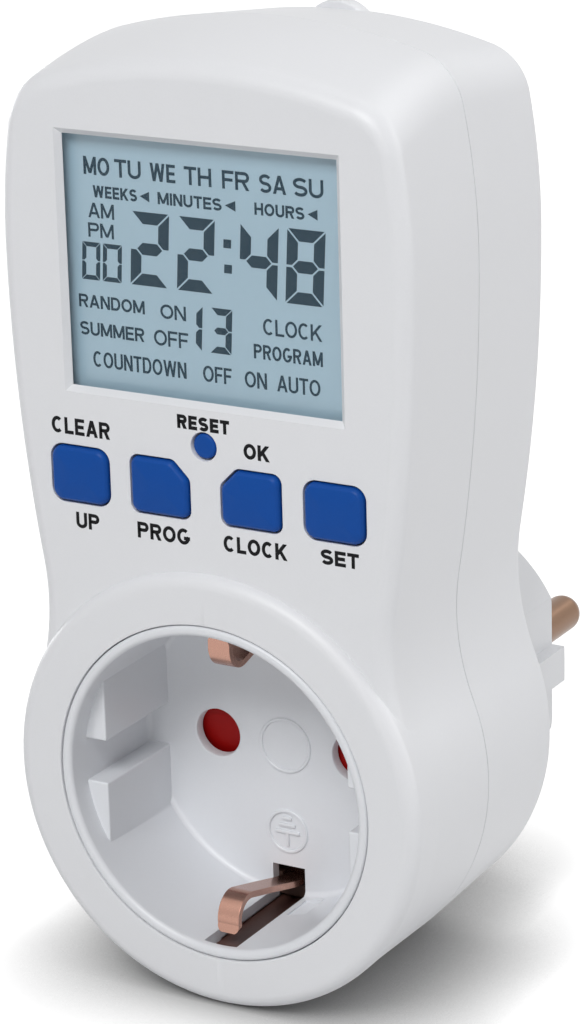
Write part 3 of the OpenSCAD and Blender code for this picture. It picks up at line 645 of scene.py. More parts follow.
# The boards' screws, and the posts that hold the socket's contact carrier down
SMALL_HOLE_R = 0.8
BOARD_BOSS_R = 1.7
BOARD_SCREWS_AT = [(x * 21.6, VIEW_Z + z) for x in (-1, 1) for z in (-18.4, 10.8)]
POWER_POST_R = 2.2
POWER_SCREWS_AT = [(x * 19.4, z) for x in (-1, 1) for z in (36, 66)]
CLAMP_R = 1.4
CORNERS = [(-1, -1), (1, -1), (1, 1), (-1, 1)]
CLAMPS_AT = [(x * 16.5, z * 8) for x, z in CORNERS]

# Softened edges of the openings
INSERT_MOUTH = 0.25
KEY_MOUTH = 0.12

# Which top corner of a key is cut off: 1 for the right one, -1 for the left one, 0 for none. Such
# a key has smaller corner radii, and its cut gets shorter as the outline moves inwards.
KEYS = {"up_key": 0, "program_key": 1, "clock_key": -1, "set_key": 0}
NOTCH_CORNER = 0.7
NOTCH_SHRINK = 0.586


def rectangle(w, h, y):
    """The corners of a rectangle round the middle of the display, at the depth y."""
    return [(x * w / 2, y, VIEW_Z + z * h / 2) for x, z in CORNERS]


def key_outline(cut_side, inset):
    """A key's outline round its own middle, moved inwards by inset."""
    w = KEY_W / 2 - inset
    h = KEY_H / 2 - inset
    if cut_side == 0:
        corners = [(x * w, z * h) for x, z in CORNERS]
        return softened(corners, max(0.35, KEY_CORNER_R - inset), 8)
    c = max(0.3, KEY_NOTCH - NOTCH_SHRINK * inset)
    corners = [(-w, -h), (w, -h), (w, h - c), (w - c, h), (-w, h)]
    points = softened(corners, max(0.2, (KEY_CORNER_R - inset) * NOTCH_CORNER), 8)
    return points if cut_side > 0 else [(-x, z) for x, z in points[::-1]]


def key_rings(node, stations):
    """The key's outline at (depth, inset) stations."""
    c = middle(node)
    return [[(c.x + x, y, c.z + z) for x, z in key_outline(KEYS[node], inset)]
            for y, inset in stations]


def raised_ring():
    """The ring round the socket, sunk into the face."""
    inner, foot = INSERT_HOLE_R - 1, DRUM_R - 0.5
    profile = [(inner, Y_WALL + 1), (inner, Y_RING)]
    profile += [(RING_R - i, y) for y, i in rounded(Y_RING, 0, RING_EDGE_R, 12)]
    profile += [(DRUM_R + 0.08, Y_FACE + 4.5), (foot, Y_FACE + 4.7), (foot, Y_WALL + 1)]
    return turned(profile)


def display_opening():
    """The bevelled opening over the display, and behind it the pocket for its window."""
    grow = 2 * VIEW_BEVEL
    rings = [(grow + 2, Y_FACE - 1), (grow, Y_FACE), (0, Y_WINDOW), (0, Y_WALL + 1)]
    opening = loft([rectangle(VIEW_W + more, VIEW_H + more, y) for more, y in rings])
    window = high("display_window") - low("display_window")
    w, h = window.x + 2 * SEAT_GAP, window.z + 2 * SEAT_GAP
    return [opening, loft([rectangle(w, h, y) for y in (Y_WINDOW, Y_WALL + 1)])]


def key_openings():
    wide = -KEY_GAP - KEY_MOUTH
    soft = KEY_MOUTH * 0.3
    stations = [(Y_FACE - 1, wide), (Y_FACE, wide), (Y_FACE + soft, -KEY_GAP - soft),
                (Y_FACE + KEY_MOUTH, -KEY_GAP), (Y_WALL + 1, -KEY_GAP)]
    openings = [loft(key_rings(node, stations)) for node in KEYS]
    reset = turned(hole_profile(RESET_R + KEY_GAP, KEY_MOUTH, Y_FACE, Y_WALL + 1), steps=64)
    return openings + [moved(reset, z=middle("reset_key").z)]


def front_cover():
    steps = 12
    y0, y1 = Y_FACE + EDGE_R, Y_PART - PARTING_EDGE
    bowed = [(y0 + (y1 - y0) * i / steps, 0) for i in range(1, steps + 1)]
    cover = skin(rounded(Y_FACE, 0, EDGE_R, 8) + bowed + [(Y_PART, PARTING_EDGE)])
    merged(cover, raised_ring())
    cut(cover, skin([(Y_WALL, WALL), (Y_PART + 1, WALL)]))
    lip = slab(head_outline(LIP_INSET, Y_PART), Y_PART - 1, Y_PART + LIP_H - SEAT_GAP)
    inner = slab(head_outline(WALL, Y_PART), Y_PART - 2, Y_PART + LIP_H + 1)
    merged(cover, cut(lip, inner))
    merged(cover, *bars(PILLAR_R, Y_WALL - SEAT_GAP, Y_PART, SCREWS_AT),
           *bars(BOARD_BOSS_R, Y_WALL - SEAT_GAP, Y_BOARD, BOARD_SCREWS_AT))
    socket = turned(hole_profile(INSERT_HOLE_R, INSERT_MOUTH, Y_RING, Y_PART - 2))
    cut(cover, socket, *display_opening(), *key_openings(),
        *bars(PILLAR_HOLE_R, Y_PART - PILLAR_HOLE_DEPTH, Y_PART + 1, SCREWS_AT),
        *bars(SMALL_HOLE_R, Y_WALL + 0.6, Y_PART, BOARD_SCREWS_AT))
    dressed(smooth(cover), "front_cover_shell", HOUSING,
            replaces=["front_cover"])


def plug_body():
    edge = [(PLUG_R - i, y) for y, i in rounded(Y_PLUG, 0, PLUG_EDGE_R, 8, -1)]
    body = turned([(0, Y_REAR_WALL), (PLUG_R, Y_REAR_WALL)] + edge[::-1] + [(0, Y_PLUG)])

    def flat():
        half, rib = PLUG_FLAT_H / 2, PLUG_RIB_W / 2
        side = block(PLUG_FLAT, PLUG_FLAT + 9, -PLUG_DEPTH, 1, -half, half)
        return cut(side, block(PLUG_FLAT - 1, PLUG_RIB_OUT, -PLUG_DEPTH - 1, 2, -rib, rib))

    def groove():
        half = GROOVE_W / 2
        return block(-half, half, -PLUG_DEPTH, 1, EARTH_LEG_Z, PLUG_R + 1)

    cut(body, *both_ways(flat), *both_ways(groove))
    return bevelled(body, 0.25)


def screw_recess(at):
    r = SCREW_RECESS_R
    profile = [(0, Y_REAR + 1), (r + 0.5, Y_REAR + 1), (r + 0.3, Y_REAR), (r, Y_REAR - 0.3),
               (r, Y_REAR - SCREW_RECESS), (0, Y_REAR - SCREW_RECESS)]
    return moved(turned(profile, steps=48), x=at[0], z=at[1])


def pin_dish(x):
    """The shallow dish round a plug pin, with the start of the pin's bore."""
    r, bore = PIN_RING_R, PIN_R - 0.15
    profile = [(0, 1), (r + 0.2, 1), (r + 0.2, 0), (r, -0.2), (r, -PIN_RING_H),
               (bore, -PIN_RING_H), (bore, -3), (0, -3)]
    return moved(turned(profile, steps=64), x=x)


def rear_cover():
    y = Y_PART + PARTING_GAP
    cover = skin([(y, PARTING_EDGE), (y + PARTING_EDGE, 0)]
                 + rounded(Y_REAR, REAR_DRAFT, REAR_EDGE_R, 8, -1)[::-1])
    cut(cover, skin([(Y_PART - 1, WALL), (Y_REAR_WALL, WALL + REAR_DRAFT)]))
    y_end = Y_REAR_WALL + 0.1
    posts = bars(SCREW_TUBE_R, Y_PART, y_end, SCREWS_AT, 32)
    posts += bars(POWER_POST_R, Y_POWER_BACK, y_end, POWER_SCREWS_AT)
    posts += bars(CLAMP_R, Y_CARRIER_BACK, y_end, CLAMPS_AT)
    nub_z = HEAD_TOP + top_rise(Y_REAR) - REAR_DRAFT + NUB_RISE - NUB_R
    nub = bar(NUB_R, Y_REAR - 2, Y_REAR, (0, nub_z), steps=96)
    merged(cover, plug_body(), bevelled(nub, 0.3), *posts)
    inside = bar(BOSS_HOLE_R, Y_REAR_WALL - 1, -2, steps=96)
    grooves = [block(-2.3, 2.3, Y_REAR_WALL - 1, 0, z - SEAT_GAP, z + EARTH_LEG_T + SEAT_GAP)
               for z in (EARTH_LEG_Z, -EARTH_LEG_Z - EARTH_LEG_T)]
    lip_room = cut(
        slab(head_outline(LIP_INSET - SEAT_GAP, Y_PART), Y_PART - 1, Y_PART + LIP_H),
        slab(head_outline(WALL + 3 * SEAT_GAP, Y_PART), Y_PART - 2, Y_PART + LIP_H + 1),
    )
    holes = bars(SCREW_HOLE_R, Y_PART - 1, Y_REAR, SCREWS_AT)
    holes += [screw_recess(at) for at in SCREWS_AT]
    holes += bars(SMALL_HOLE_R, Y_POWER_BACK - 1, Y_REAR_WALL + 0.4, POWER_SCREWS_AT)
    holes += [pin_dish(x) for x in (-CONTACT_X, CONTACT_X)]
    cut(cover, inside, lip_room, *grooves, *holes)
    dressed(smooth(cover), "rear_cover_shell", HOUSING, replaces=["rear_cover"])


# ---- Socket ----

FLOOR_FILLET = 0.7
HOLE_MOUTH = 0.35
FLANGE_R = DRUM_R - WALL - 0.8
FLANGE_T = 1.5
PIVOT_R = 1.4
STOP_R = 1.2
STOP_ANGLES = (-30.7, 70.7)
CARRIER_BOSS_R = 2.2
CARRIER_HOLE_R = 0.9
CARRIER_SCREWS_AT = [(10.8, 10.8), (-10.8, -10.8)]


def guide_block():
    """The pad above one guide channel; its mirror image lies below it."""
    outer = WELL_R + 0.8
    half = GUIDE_CHANNEL / 2
    top = math.degrees(math.acos(GUIDE_FLAT / outer))
    start = math.degrees(math.asin(half / outer))
    outline = [(GUIDE_FLAT, half)] + arc((0, 0), outer, start - 2, top, 14)
    outline[1] = (math.sqrt(outer * outer - half * half), half)
    return bevelled(slab(outline, Y_RING + GUIDE_SET_BACK, Y_FLOOR + 1), 0.4, 4)


def insert_profile():
    """Half of the insert's section: the well with its fillet and rims, the flange and the back."""
    wide, fillet = RIM_R * 1.5, FLOOR_FILLET
    profile = [(0, Y_FLOOR), (WELL_R - fillet, Y_FLOOR)]
    profile += [(WELL_R - fillet + fillet * math.sin(a), Y_FLOOR - fillet * (1 - math.cos(a)))
                for a in quarter(15, 15)]
    profile += [(WELL_R + wide * (1 - math.cos(a)), Y_RING + wide * (1 - math.sin(a)))
                for a in quarter(10)]
    profile += [(INSERT_R - RIM_R + RIM_R * math.sin(a), Y_RING + RIM_R * (1 - math.cos(a)))
                for a in quarter(15)]
    y_flange = Y_WALL + FLANGE_T
    profile += [(INSERT_R, Y_WALL), (FLANGE_R, Y_WALL), (FLANGE_R, y_flange), (INSERT_R, y_flange)]
    return profile + [(INSERT_R, Y_FLOOR_BACK), (0, Y_FLOOR_BACK)]


def socket_insert():
    insert = turned(insert_profile(), steps=192)
    blocks = both_ways(guide_block)
    blocks += [upside_down(piece) for piece in both_ways(guide_block)]
    y_back = Y_FLOOR_BACK - 0.1
    posts = [bar(PIVOT_R, y_back, Y_CARRIER_BACK - 0.5, steps=32)]
    posts += bars(CARRIER_BOSS_R, y_back, Y_CARRIER, CARRIER_SCREWS_AT)
    for turn in STOP_ANGLES:
        x, z = CONTACT_X * math.cos(math.radians(turn)), CONTACT_X * math.sin(math.radians(turn))
        posts += bars(STOP_R, y_back, Y_SHUTTER_BACK, [(-x, z), (x, -z)])
    merged(insert, *blocks, *posts)
    contact_hole = hole_profile(HOLE_R, HOLE_MOUTH, Y_FLOOR, Y_FLOOR_BACK + 1)
    holes = [moved(turned(contact_hole, steps=64), x=x) for x in (-CONTACT_X, CONTACT_X)]
    side = SLOT_W / 2
    y_slot = Y_RING + SLOT_FRONT
    holes += both_ways(lambda: block(-side, side, y_slot, Y_FLOOR_BACK + 1, SLOT_LOW, INSERT_R + 1))
    holes += bars(CARRIER_HOLE_R, Y_FLOOR_BACK + 0.2, Y_CARRIER + 1, CARRIER_SCREWS_AT)
    holes += both_ways(
        lambda: block(side + 0.8, side + 3.4, Y_FLOOR - 6, Y_FLOOR - 1.2, -19.5, -17))
    cut(insert, *holes)
    dressed(smooth(insert), "socket_insert_moulding", INSERT,
            replaces=["socket_insert"])


def slot_shade_linings():
    """Brown plastic closing each earth slot, its darkness partly painted shade of the deep slot."""
    side = SLOT_W / 2 + 0.1
    y_slot = Y_RING + SLOT_FRONT - 0.1
    pieces = both_ways(
        lambda: block(-side, side, y_slot, Y_CARRIER, INSERT_R + 0.1, INSERT_R + 0.8))
    dressed(joined(pieces), "slot_shade_linings", SHADE_LINING)


def floor_marks():
    """The plain ring in the middle of the well's floor, and the protective-earth sign below it."""
    sunk = Y_FLOOR + 0.1

    def raised(outer, line, height, z=0):
        inner = outer - line
        side, top = Y_FLOOR - height * 0.6, Y_FLOOR - height
        profile = [(inner, sunk), (inner, side), (inner + 0.1, top), (outer - 0.1, top),
                   (outer, side), (outer, sunk)]
        return moved(turned(profile, steps=96), z=z)

    sign_z = -11.2
    line = 0.42
    height = 0.26
    y, half = Y_FLOOR - height, line / 2
    rings = [raised(3.55, 0.4, 0.22), raised(2.85, line, height, sign_z)]
    stem = block(-half, half, y, sunk, sign_z - 2, sign_z - 0.1)
    lines = [block(-w / 2, w / 2, y, sunk, sign_z + z - half, sign_z + z + half)
             for z, w in ((-0.1, 3.4), (0.8, 2.3), (1.7, 1.3))]
    marks = joined(rings + [bevelled(merged(stem, *lines), 0.1, 2)])
    dressed(smooth(marks), "socket_floor_marks", INSERT)


def earth_clips():
    """The strap with a sprung hook at each end; the hooks' ends are rounded off."""
    bend = 0.8
    tip = (HOOK_Y - HOOK_R - 0.2, HOOK_Z + 1.5)
    y_bar = Y_CARRIER_BACK + SEAT_GAP / 2 + CLIP_T / 2
    hook = [tip] + arc((HOOK_Y, HOOK_Z), HOOK_R, 165, 283, 24)
    hook += [(Y_FLOOR - 5, CLIP_Z - 1.4), (Y_FLOOR - 1, CLIP_Z - 0.3), (Y_FLOOR, CLIP_Z - 0.1)]
    hook += [(Y_FLOOR + 1, CLIP_Z), (y_bar - bend, CLIP_Z)]
    hook += arc((y_bar - bend, CLIP_Z - bend), bend, 90, 0, 8)
    path = hook + [(y, -z) for y, z in hook[::-1]]
    side, end, r = CLIP_W / 2, tip[1], 0.9
    strap = loft([[(x, y, z) for y, z in strip(path, CLIP_T)] for x in (-side, side)])

    def corner(s):
        outline = [(side + 1, end - r), (side + 1, end + 1), (side - r, end + 1), (side - r, end)]
        outline += arc((side - r, end - r), r, 90, 0, 8)
        return slab([(s * x, z) for x, z in outline], HOOK_Y - HOOK_R - 2, HOOK_Y - HOOK_R + 1)

    cut(strap, *both_ways(lambda: corner(1)), *both_ways(lambda: corner(-1)))
    bevelled(strap, 0.12, 2)
    dressed(smooth(strap), "earth_clip_strap", COPPER,
            replaces=["socket_earth_clips"])


# ---- Plug pins and earth contacts ----


def plug_pin(node):
    """A turned pin: two collars in the holder inside the plug, and a round tip."""
    y_head, y_tip = low(node).y, high(node).y
    y_collar = -6
    neck, collar, soft = PIN_NECK_R, PIN_COLLAR_R, 0.1
    profile = [(0, y_head), (collar - soft, y_head), (collar, y_head + soft),
               (collar, y_head + PIN_COLLAR_T), (neck, y_head + PIN_COLLAR_T),
               (neck, y_collar), (collar - soft, y_collar), (collar, y_collar + soft),
               (collar, y_collar + 1.2), (neck, y_collar + 1.2),
               (neck, -PIN_RING_H), (PIN_R, -PIN_RING_H)]
    profile += [(PIN_R * math.cos(a), y_tip - PIN_R + PIN_R * math.sin(a)) for a in quarter(6)]
    pin = moved(turned(profile, steps=64), x=middle(node).x)
    dressed(smooth(pin), node + "_turned", PIN, replaces=[node])


def earth_bracket():
    lo, hi = low("plug_earth_bracket"), high("plug_earth_bracket")
    half = hi.x
    strap = block(-half, half, lo.y, lo.y + EARTH_LEG_T, lo.z, hi.z)
    merged(strap, block(-half, half, lo.y, hi.y, hi.z - EARTH_LEG_T, hi.z),
           block(-half, half, lo.y, hi.y, lo.z, lo.z + EARTH_LEG_T))
    bevelled(strap, 0.2, 3)
    dressed(smooth(strap), "earth_bracket_strap", COPPER,
            replaces=["plug_earth_bracket"])


# ---- Keys ----


def key_cap(node):
    y_key, y_back = low(node).y, high(node).y
    stations = [(y_key, 2.9), (y_key + 0.02, 2.3), (y_key + 0.07, 1.7), (y_key + 0.15, 1.25)]
    for a in [math.radians(degrees) for degrees in range(64, -1, -8)]:
        depth = y_key + 0.12 + KEY_EDGE_R * (1 - math.sin(a))
        stations.append((depth, KEY_EDGE_R * (1 - math.cos(a))))
    stations += [(y_back - 1, 0), (y_back - 1, -KEY_FLANGE), (y_back, -KEY_FLANGE)]
    cap = loft(key_rings(node, stations))
    dressed(smooth(cap), node + "_cap", KEY, body=node, replaces=[node])


def reset_cap():
    node = "reset_key"
    y_front, y_back = low(node).y, high(node).y
    soft = 0.4
    profile = [(0, y_front)]
    profile += [(RESET_R - soft + soft * math.sin(a), y_front + soft * (1 - math.cos(a)))
                for a in quarter(15)]
    flange = RESET_R + KEY_FLANGE
    profile += [(RESET_R, y_back - 1), (flange, y_back - 1), (flange, y_back), (0, y_back)]
    cap = moved(turned(profile, steps=48), z=middle(node).z)
    dressed(smooth(cap), "reset_key_cap", KEY, body=node, replaces=[node])


# ---- Pieces that give way ----

SPRING_R = 2.9
SPRING_WIRE_R = 0.2
SPRING_TURNS = 2.5
SPRING_LENGTH = 0.9
DOME_H = 1.7
DOME_WALL = 0.7


def shutter_spring():
    """The torsion spring: one leg sits in the shutter and the other in the contact carrier."""
    y0 = Y_CARRIER + 0.35
    whole = 360 * SPRING_TURNS
    steps = int(24 * SPRING_TURNS)
    path = [(0, low("shutter_spring").y)]
    path += [(whole * i / steps, y0 + SPRING_LENGTH * i / steps) for i in range(steps + 1)]
    path += [(whole, high("shutter_spring").y)]
    outwards = [Vector((math.cos(math.radians(a)), 0, math.sin(math.radians(a)))) for a, _ in path]
    points = [o * SPRING_R + Vector((0, y, 0)) for o, (_, y) in zip(outwards, path)]
    rings = []
    for i, (point, out) in enumerate(zip(points, outwards)):
        way = (points[min(i + 1, len(points) - 1)] - points[max(i - 1, 0)]).normalized()
        side = out.cross(way)
        angles = [2 * math.pi * k / 10 for k in range(10)]
        rings.append([point + (out * math.cos(a) + side * math.sin(a)) * SPRING_WIRE_R
                      for a in angles])
    spring = dressed(smooth(loft(rings), 60), "torsion_spring", SPRING, body=None,
                     replaces=["shutter_spring"])
    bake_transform(spring)


def key_mat():
    """The silicone mat: a sheet on the board, and under each key a dome."""
    lo, hi = low("key_mat"), high("key_mat")
    y_sheet = lo.y + DOME_H
    x_key, z_key, z_reset = hi.x, middle("up_key").z - 0.3, middle("reset_key").z + 0.1
    sheets = []
    for x, z, half in ((x_key, z_key, 4.6), (x_key - 1.9, z_reset, 2.5)):
        outline = softened([(-x, z - half), (x, z - half), (x, z + half), (-x, z + half)], 1)
        sheets.append(slab(outline, y_sheet, hi.y))
    sheet = merged(*sheets)
    domes = [(node, 3, node.replace("_key", "_press"), 0.4) for node in KEYS]
    domes.append(("reset_key", 1.7, "reset_press", 0.5))
    cut(sheet, *[bar(r - DOME_WALL, y_sheet - 1, hi.y + 1, (middle(node).x, middle(node).z))
                 for node, r, _, _ in domes])
    dressed(smooth(sheet), "key_mat_sheet", SILICONE, replaces=["key_mat"])
    for node, r, joint, keep in domes:
        inner = r - DOME_WALL
        dome = turned([(0, lo.y), (r - 0.2, lo.y), (r, lo.y + 0.2), (r, y_sheet), (inner, y_sheet),
                       (inner, lo.y + DOME_WALL), (0, lo.y + DOME_WALL)], steps=48)
        moved(dome, x=middle(node).x, z=middle(node).z)
        dressed(smooth(dome), node + "_dome", SILICONE)
        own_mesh(dome)


# ---- Display print ----

PRINT_T = 0.02


def plate(outline, y):
    """A flat piece of print on the plane y."""
    return slab(outline, y - PRINT_T, y)


def slant(start, end, t, y):
    """A straight stroke of width t with level ends."""
    (x0, z0), (x1, z1) = start, end
    half = t / 2 * math.hypot(x1 - x0, z1 - z0) / abs(z1 - z0)
    return plate([(x0 - half, z0), (x0 + half, z0), (x1 + half, z1), (x1 - half, z1)], y)


def band(path, t, y, closed=False):
    """A flat stroke of width t along a path in x and z, with mitred corners."""
    points = [Vector(p) for p in path]
    n = len(points)
    way = [(points[(i + 1) % n] - points[i]).normalized() for i in range(n if closed else n - 1)]
    front, faces = [], []
    for i in range(n):
        after = way[i] if closed else way[min(i, n - 2)]
        before = way[i - 1] if closed else way[max(i - 1, 0)]
        mean = (before + after).normalized()
        side = Vector((-mean.y, mean.x)) * t / 2 / max(0.5, mean.dot(after))
        front += [points[i] + side, points[i] - side]
    solid = [(p.x, y - PRINT_T, p.y) for p in front] + [(p.x, y, p.y) for p in front]
    back = 2 * n
    for i in range(n if closed else n - 1):
        a, b = 2 * i, 2 * ((i + 1) % n)
        faces += [(a, a + 1, b + 1, b), (back + a, back + b, back + b + 1, back + a + 1)]
        faces += [(a, b, back + b, back + a), (a + 1, back + a + 1, back + b + 1, b + 1)]
    if not closed:
        for a in (0, 2 * n - 2):
            faces.append((a, a + 1, back + a + 1, back + a))
    return new_piece(solid, faces)


def bow(x, z, rx, rz, start, end, steps=14):
    """Points along part of an ellipse. Angles are in degrees."""
    angles = [math.radians(start + (end - start) * i / steps) for i in range(steps + 1)]
    return [(x + rx * math.cos(a), z + rz * math.sin(a)) for a in angles]


def letter(name, w, h, t):
    """The strokes of a capital: (kind, points) in a box of w by h, with strokes of width t.

    A line is drawn along its points, a ring closes on itself, and a slant has level ends.
    """
    e = t / 2
    l, r, b, m, u = e, w - e, e, h / 2, h - e
    rx, rz = (r - l) / 2, (u - b) / 2
    cx = (l + r) / 2
    stem = ("line", [(l, 0), (l, h)])
    right_stem = ("line", [(r, 0), (r, h)])
    half_rz = rz / 2
    bowl = bow(r - half_rz, (u + m) / 2, half_rz, (u - m) / 2, 90, -90)
    head = [(l, 0), (l, u), (r - half_rz, u)] + bowl[1:-1] + [(r - half_rz, m), (l, m)]
    shapes = {
        "A": [("slant", [(e * 1.1, 0), (w / 2, h)]), ("slant", [(w - e * 1.1, 0), (w / 2, h)]),
              ("line", [(w * 0.22, h * 0.3), (w * 0.78, h * 0.3)])],
        "C": [("line", bow(cx, m, rx, rz, 48, 312, 24))],
        "D": [("ring", [(l, b), (l, u)] + bow(r - rx, m, rx, rz, 90, -90))],
        "E": [("line", [(w, u), (l, u), (l, b), (w, b)]), ("line", [(l, m), (w * 0.93, m)])],
        "F": [("line", [(w, u), (l, u), (l, 0)]), ("line", [(l, m), (w * 0.9, m)])],
        "G": [("line", bow(cx, m, rx, rz, 50, 325, 24) + [(r, m)]),
              ("line", [(w * 0.52, m - e), (w, m - e)])],
        "H": [stem, right_stem, ("line", [(l, m), (r, m)])],
        "I": [("line", [(w / 2, 0), (w / 2, h)])],
        "K": [stem, ("slant", [(l, h * 0.3), (w - t * 0.7, h)]),
              ("slant", [(w * 0.36, h * 0.6), (w - t * 0.6, 0)])],
        "L": [("line", [(l, h), (l, b), (w, b)])],
        "M": [stem, right_stem, ("slant", [(l, h), (w / 2, h * 0.08)]),
              ("slant", [(r, h), (w / 2, h * 0.08)])],
        "N": [stem, right_stem, ("slant", [(l + e * 0.2, h), (r - e * 0.2, 0)])],
        "O": [("ring", bow(cx, m, rx, rz, 0, 348, 29))],
        "P": [("line", head)],
        "R": [("line", head), ("slant", [(w * 0.52, m), (w - t * 0.6, 0)])],
        "S": [("line", bow(cx, (u + m) / 2, rx, (u - m) / 2, 28, 270, 18)[:-1]
               + bow(cx, (m + b) / 2, rx, (m - b) / 2, 90, -152, 18))],
        "T": [("line", [(0, u), (w, u)]), ("line", [(w / 2, 0), (w / 2, u)])],
        "U": [("line", [(l, h)] + bow(cx, b + rx * 0.85, rx, rx * 0.85, 180, 360) + [(r, h)])],
        "W": [("slant", [(e * 1.1, h), (w * 0.27, 0)]), ("slant", [(w / 2, h), (w * 0.27, 0)]),
              ("slant", [(w / 2, h), (w * 0.73, 0)]), ("slant", [(w - e * 1.1, h), (w * 0.73, 0)])],
    }
    return shapes[name]


# Widths of the capitals, as shares of their height
WIDE = {"A": 0.95, "C": 0.92, "E": 0.76, "F": 0.72, "G": 0.98, "I": 0.22, "K": 0.94, "L": 0.72,
        "M": 1.06, "O": 0.98, "T": 0.8, "W": 1.3}
USUAL_WIDTH = 0.86


def word(text, x0, x1, z0, z1, y, t):
    """A word of capitals that fills a box in x and z on the plane y, with strokes of width t."""
    h = z1 - z0
    between = 0.5
    widths = [WIDE.get(name, USUAL_WIDTH) * h for name in text]
    stretch = (x1 - x0 - between * t * (len(text) - 1)) / sum(widths)
    pieces = []
    x = x0
    for name, natural in zip(text, widths):
        w = natural * stretch
        strokes = []
        for kind, points in letter(name, w, h, t):
            path = [(x + px, z0 + pz) for px, pz in points]
            if kind == "slant":
                strokes.append(slant(*path, t, y))
            else:
                strokes.append(band(path, t, y, closed=kind == "ring"))
        pieces.append(merged(*strokes) if len(strokes) > 1 else strokes[0])
        x += w + between * t
    return joined(pieces)


# Which segments each digit lights: from the top one (a) clockwise to the upper left one (f), and
# the middle one (g)
DIGITS = {"0": "abcdef", "1": "bc", "2": "abged", "3": "abgcd", "4": "fgbc", "8": "abcdefg"}


def segment_outlines(x0, x1, z0, z1, t):
    """The seven segments of a digit in a box, with thin gaps between them."""
    gap = t * 0.1
    zm = (z0 + z1) / 2
    h = t / 2

    def upright(x, d, z, e):
        """A side segment from its corner at x and z; d and e point into the digit."""
        return [(x, z + e * gap), (x + d * t, z + e * t + e * gap),
                (x + d * t, zm - e * h - e * gap), (x + d * h, zm - e * gap), (x, zm - e * gap)]

    return {
        "a": [(x0 + gap, z1), (x1 - gap, z1), (x1 - t - gap, z1 - t), (x0 + t + gap, z1 - t)],
        "d": [(x0 + gap, z0), (x0 + t + gap, z0 + t), (x1 - t - gap, z0 + t), (x1 - gap, z0)],
        "f": upright(x0, 1, z1, -1),
        "b": upright(x1, -1, z1, -1),
        "e": upright(x0, 1, z0, 1),
        "c": upright(x1, -1, z0, 1),
        "g": [(x0 + h + gap, zm), (x0 + t + gap, zm + h), (x1 - t - gap, zm + h),
              (x1 - h - gap, zm), (x1 - t - gap, zm - h), (x0 + t + gap, zm - h)],
    }


def digit(figure, x0, x1, z0, z1, t):
    lean = 0.06
    pieces = []
    for name, outline in segment_outlines(x0, x1, z0, z1, t).items():
        if name in DIGITS[figure]:
            leaning = [(x + lean * (z - (z0 + z1) / 2), z) for x, z in outline]
            pieces.append(plate(leaning, Y_GLASS))
    return pieces


def display_print():
    days = [("MO", -15.97, -12.48), ("TU", -11.80, -8.28), ("WE", -7.09, -3.74),
            ("TH", -2.58, 0.98), ("FR", 2.37, 5.88), ("SA", 7.16, 10.59), ("SU", 11.47, 15.3)]
    words = [
        ("WEEKS", -14.85, -8.92, 69.5, 70.9),
        ("MINUTES", -6.18, 2.21, 69.5, 70.9),
        ("HOURS", 6.45, 12.82, 69.5, 70.9),
        ("AM", -15.6, -12.1, 67.1, 68.85),
        ("PM", -15.7, -12.25, 64.8, 66.5),
        ("RANDOM", -17.4, -8.5, 56.4, 57.95),
        ("ON", -6.4, -3.0, 56.2, 57.9),
        ("SUMMER", -17.4, -8.7, 53.1, 54.7),
        ("OFF", -7.4, -2.8, 52.95, 54.8),
        ("CLOCK", 7.1, 14.7, 55.8, 57.7),
        ("PROGRAM", 5.8, 14.7, 52.9, 54.6),
        ("COUNTDOWN", -15.8, -3.2, 49.4, 51.3),
        ("OFF", -1.0, 2.8, 49.4, 51.3),
        ("ON", 4.5, 7.4, 49.4, 51.3),
        ("AUTO", 8.7, 14.3, 49.4, 51.3),
    ]
    # Height of a row's foot and head, stroke width, and its digits with their left and right ends
    rows = [
        (59.8, 68.4, 1.4,
         [("2", -10.0, -5.0), ("2", -3.8, 1.0), ("4", 4.35, 9.25), ("8", 10.35, 15.2)]),
        (59.75, 64.2, 0.55, [("0", -16.7, -14.26), ("0", -13.9, -11.35)]),
        (52.9, 58.2, 0.8, [("1", -2.9, -0.9), ("3", 0.2, 3.0)]),
    ]
    pieces = [word(text, x0, x1, 72.1, 74.2, Y_GLASS, 0.36) for text, x0, x1 in days]
    pieces += [word(*entry, Y_GLASS, 0.29) for entry in words]
    for x0, x1 in ((-8.55, -7.30), (2.62, 3.99), (13.22, 14.48)):
        pieces.append(plate([(x0, 70.2), (x1, 69.6), (x1, 70.8)], Y_GLASS))
    for z in (62.9, 65.8):
        dot = [(2.25, z - 0.5), (3.25, z - 0.5), (3.31, z + 0.5), (2.31, z + 0.5)]
        pieces.append(plate(dot, Y_GLASS))
    for z0, z1, t, figures in rows:
        for figure, x0, x1 in figures:
            pieces += digit(figure, x0, x1, z0, z1, t)
    dressed(joined(pieces), "display_segments", SEGMENT)


def face_labels():
    words = [
        ("CLEAR", -20.6, -12.6, 41.5, 43.5),
        ("RESET", -3.4, 3.5, 44.15, 45.8),
        ("OK", 5.3, 8.7, 41.6, 43.45),
        ("UP", -17.8, -14.6, 30.15, 32.1),
        ("PROG", -9.35, -2.25, 30.15, 32.1),
        ("CLOCK", 2.25, 10.65, 30.15, 32.1),
        ("SET", 15.0, 19.9, 30.5, 32.3),
    ]
    pieces = [word(*entry, Y_FACE, 0.42) for entry in words]
    dressed(joined(pieces), "face_labels", PRINT)


# ---- Studio ----

CAMERA_AT = (208.974, -393.728, 164.173)
CAMERA_AIM = (3.384, -42.48, 30.857)
CAMERA_ROLL = -1.61
CAMERA_LENS = 128.48

# What lights the object: the world's power and the floor's grey. Seen directly, the floor's own
# grey is darker, and its glow fades near the object: a painted shadow.
WORLD_POWER = 0.09
FLOOR_SIZE = 6
FLOOR_GREY = 0.7
FLOOR_GREY_SEEN = 0.2
SHADOW_REACH = 0.017
SHADOW_POWER = 1.7

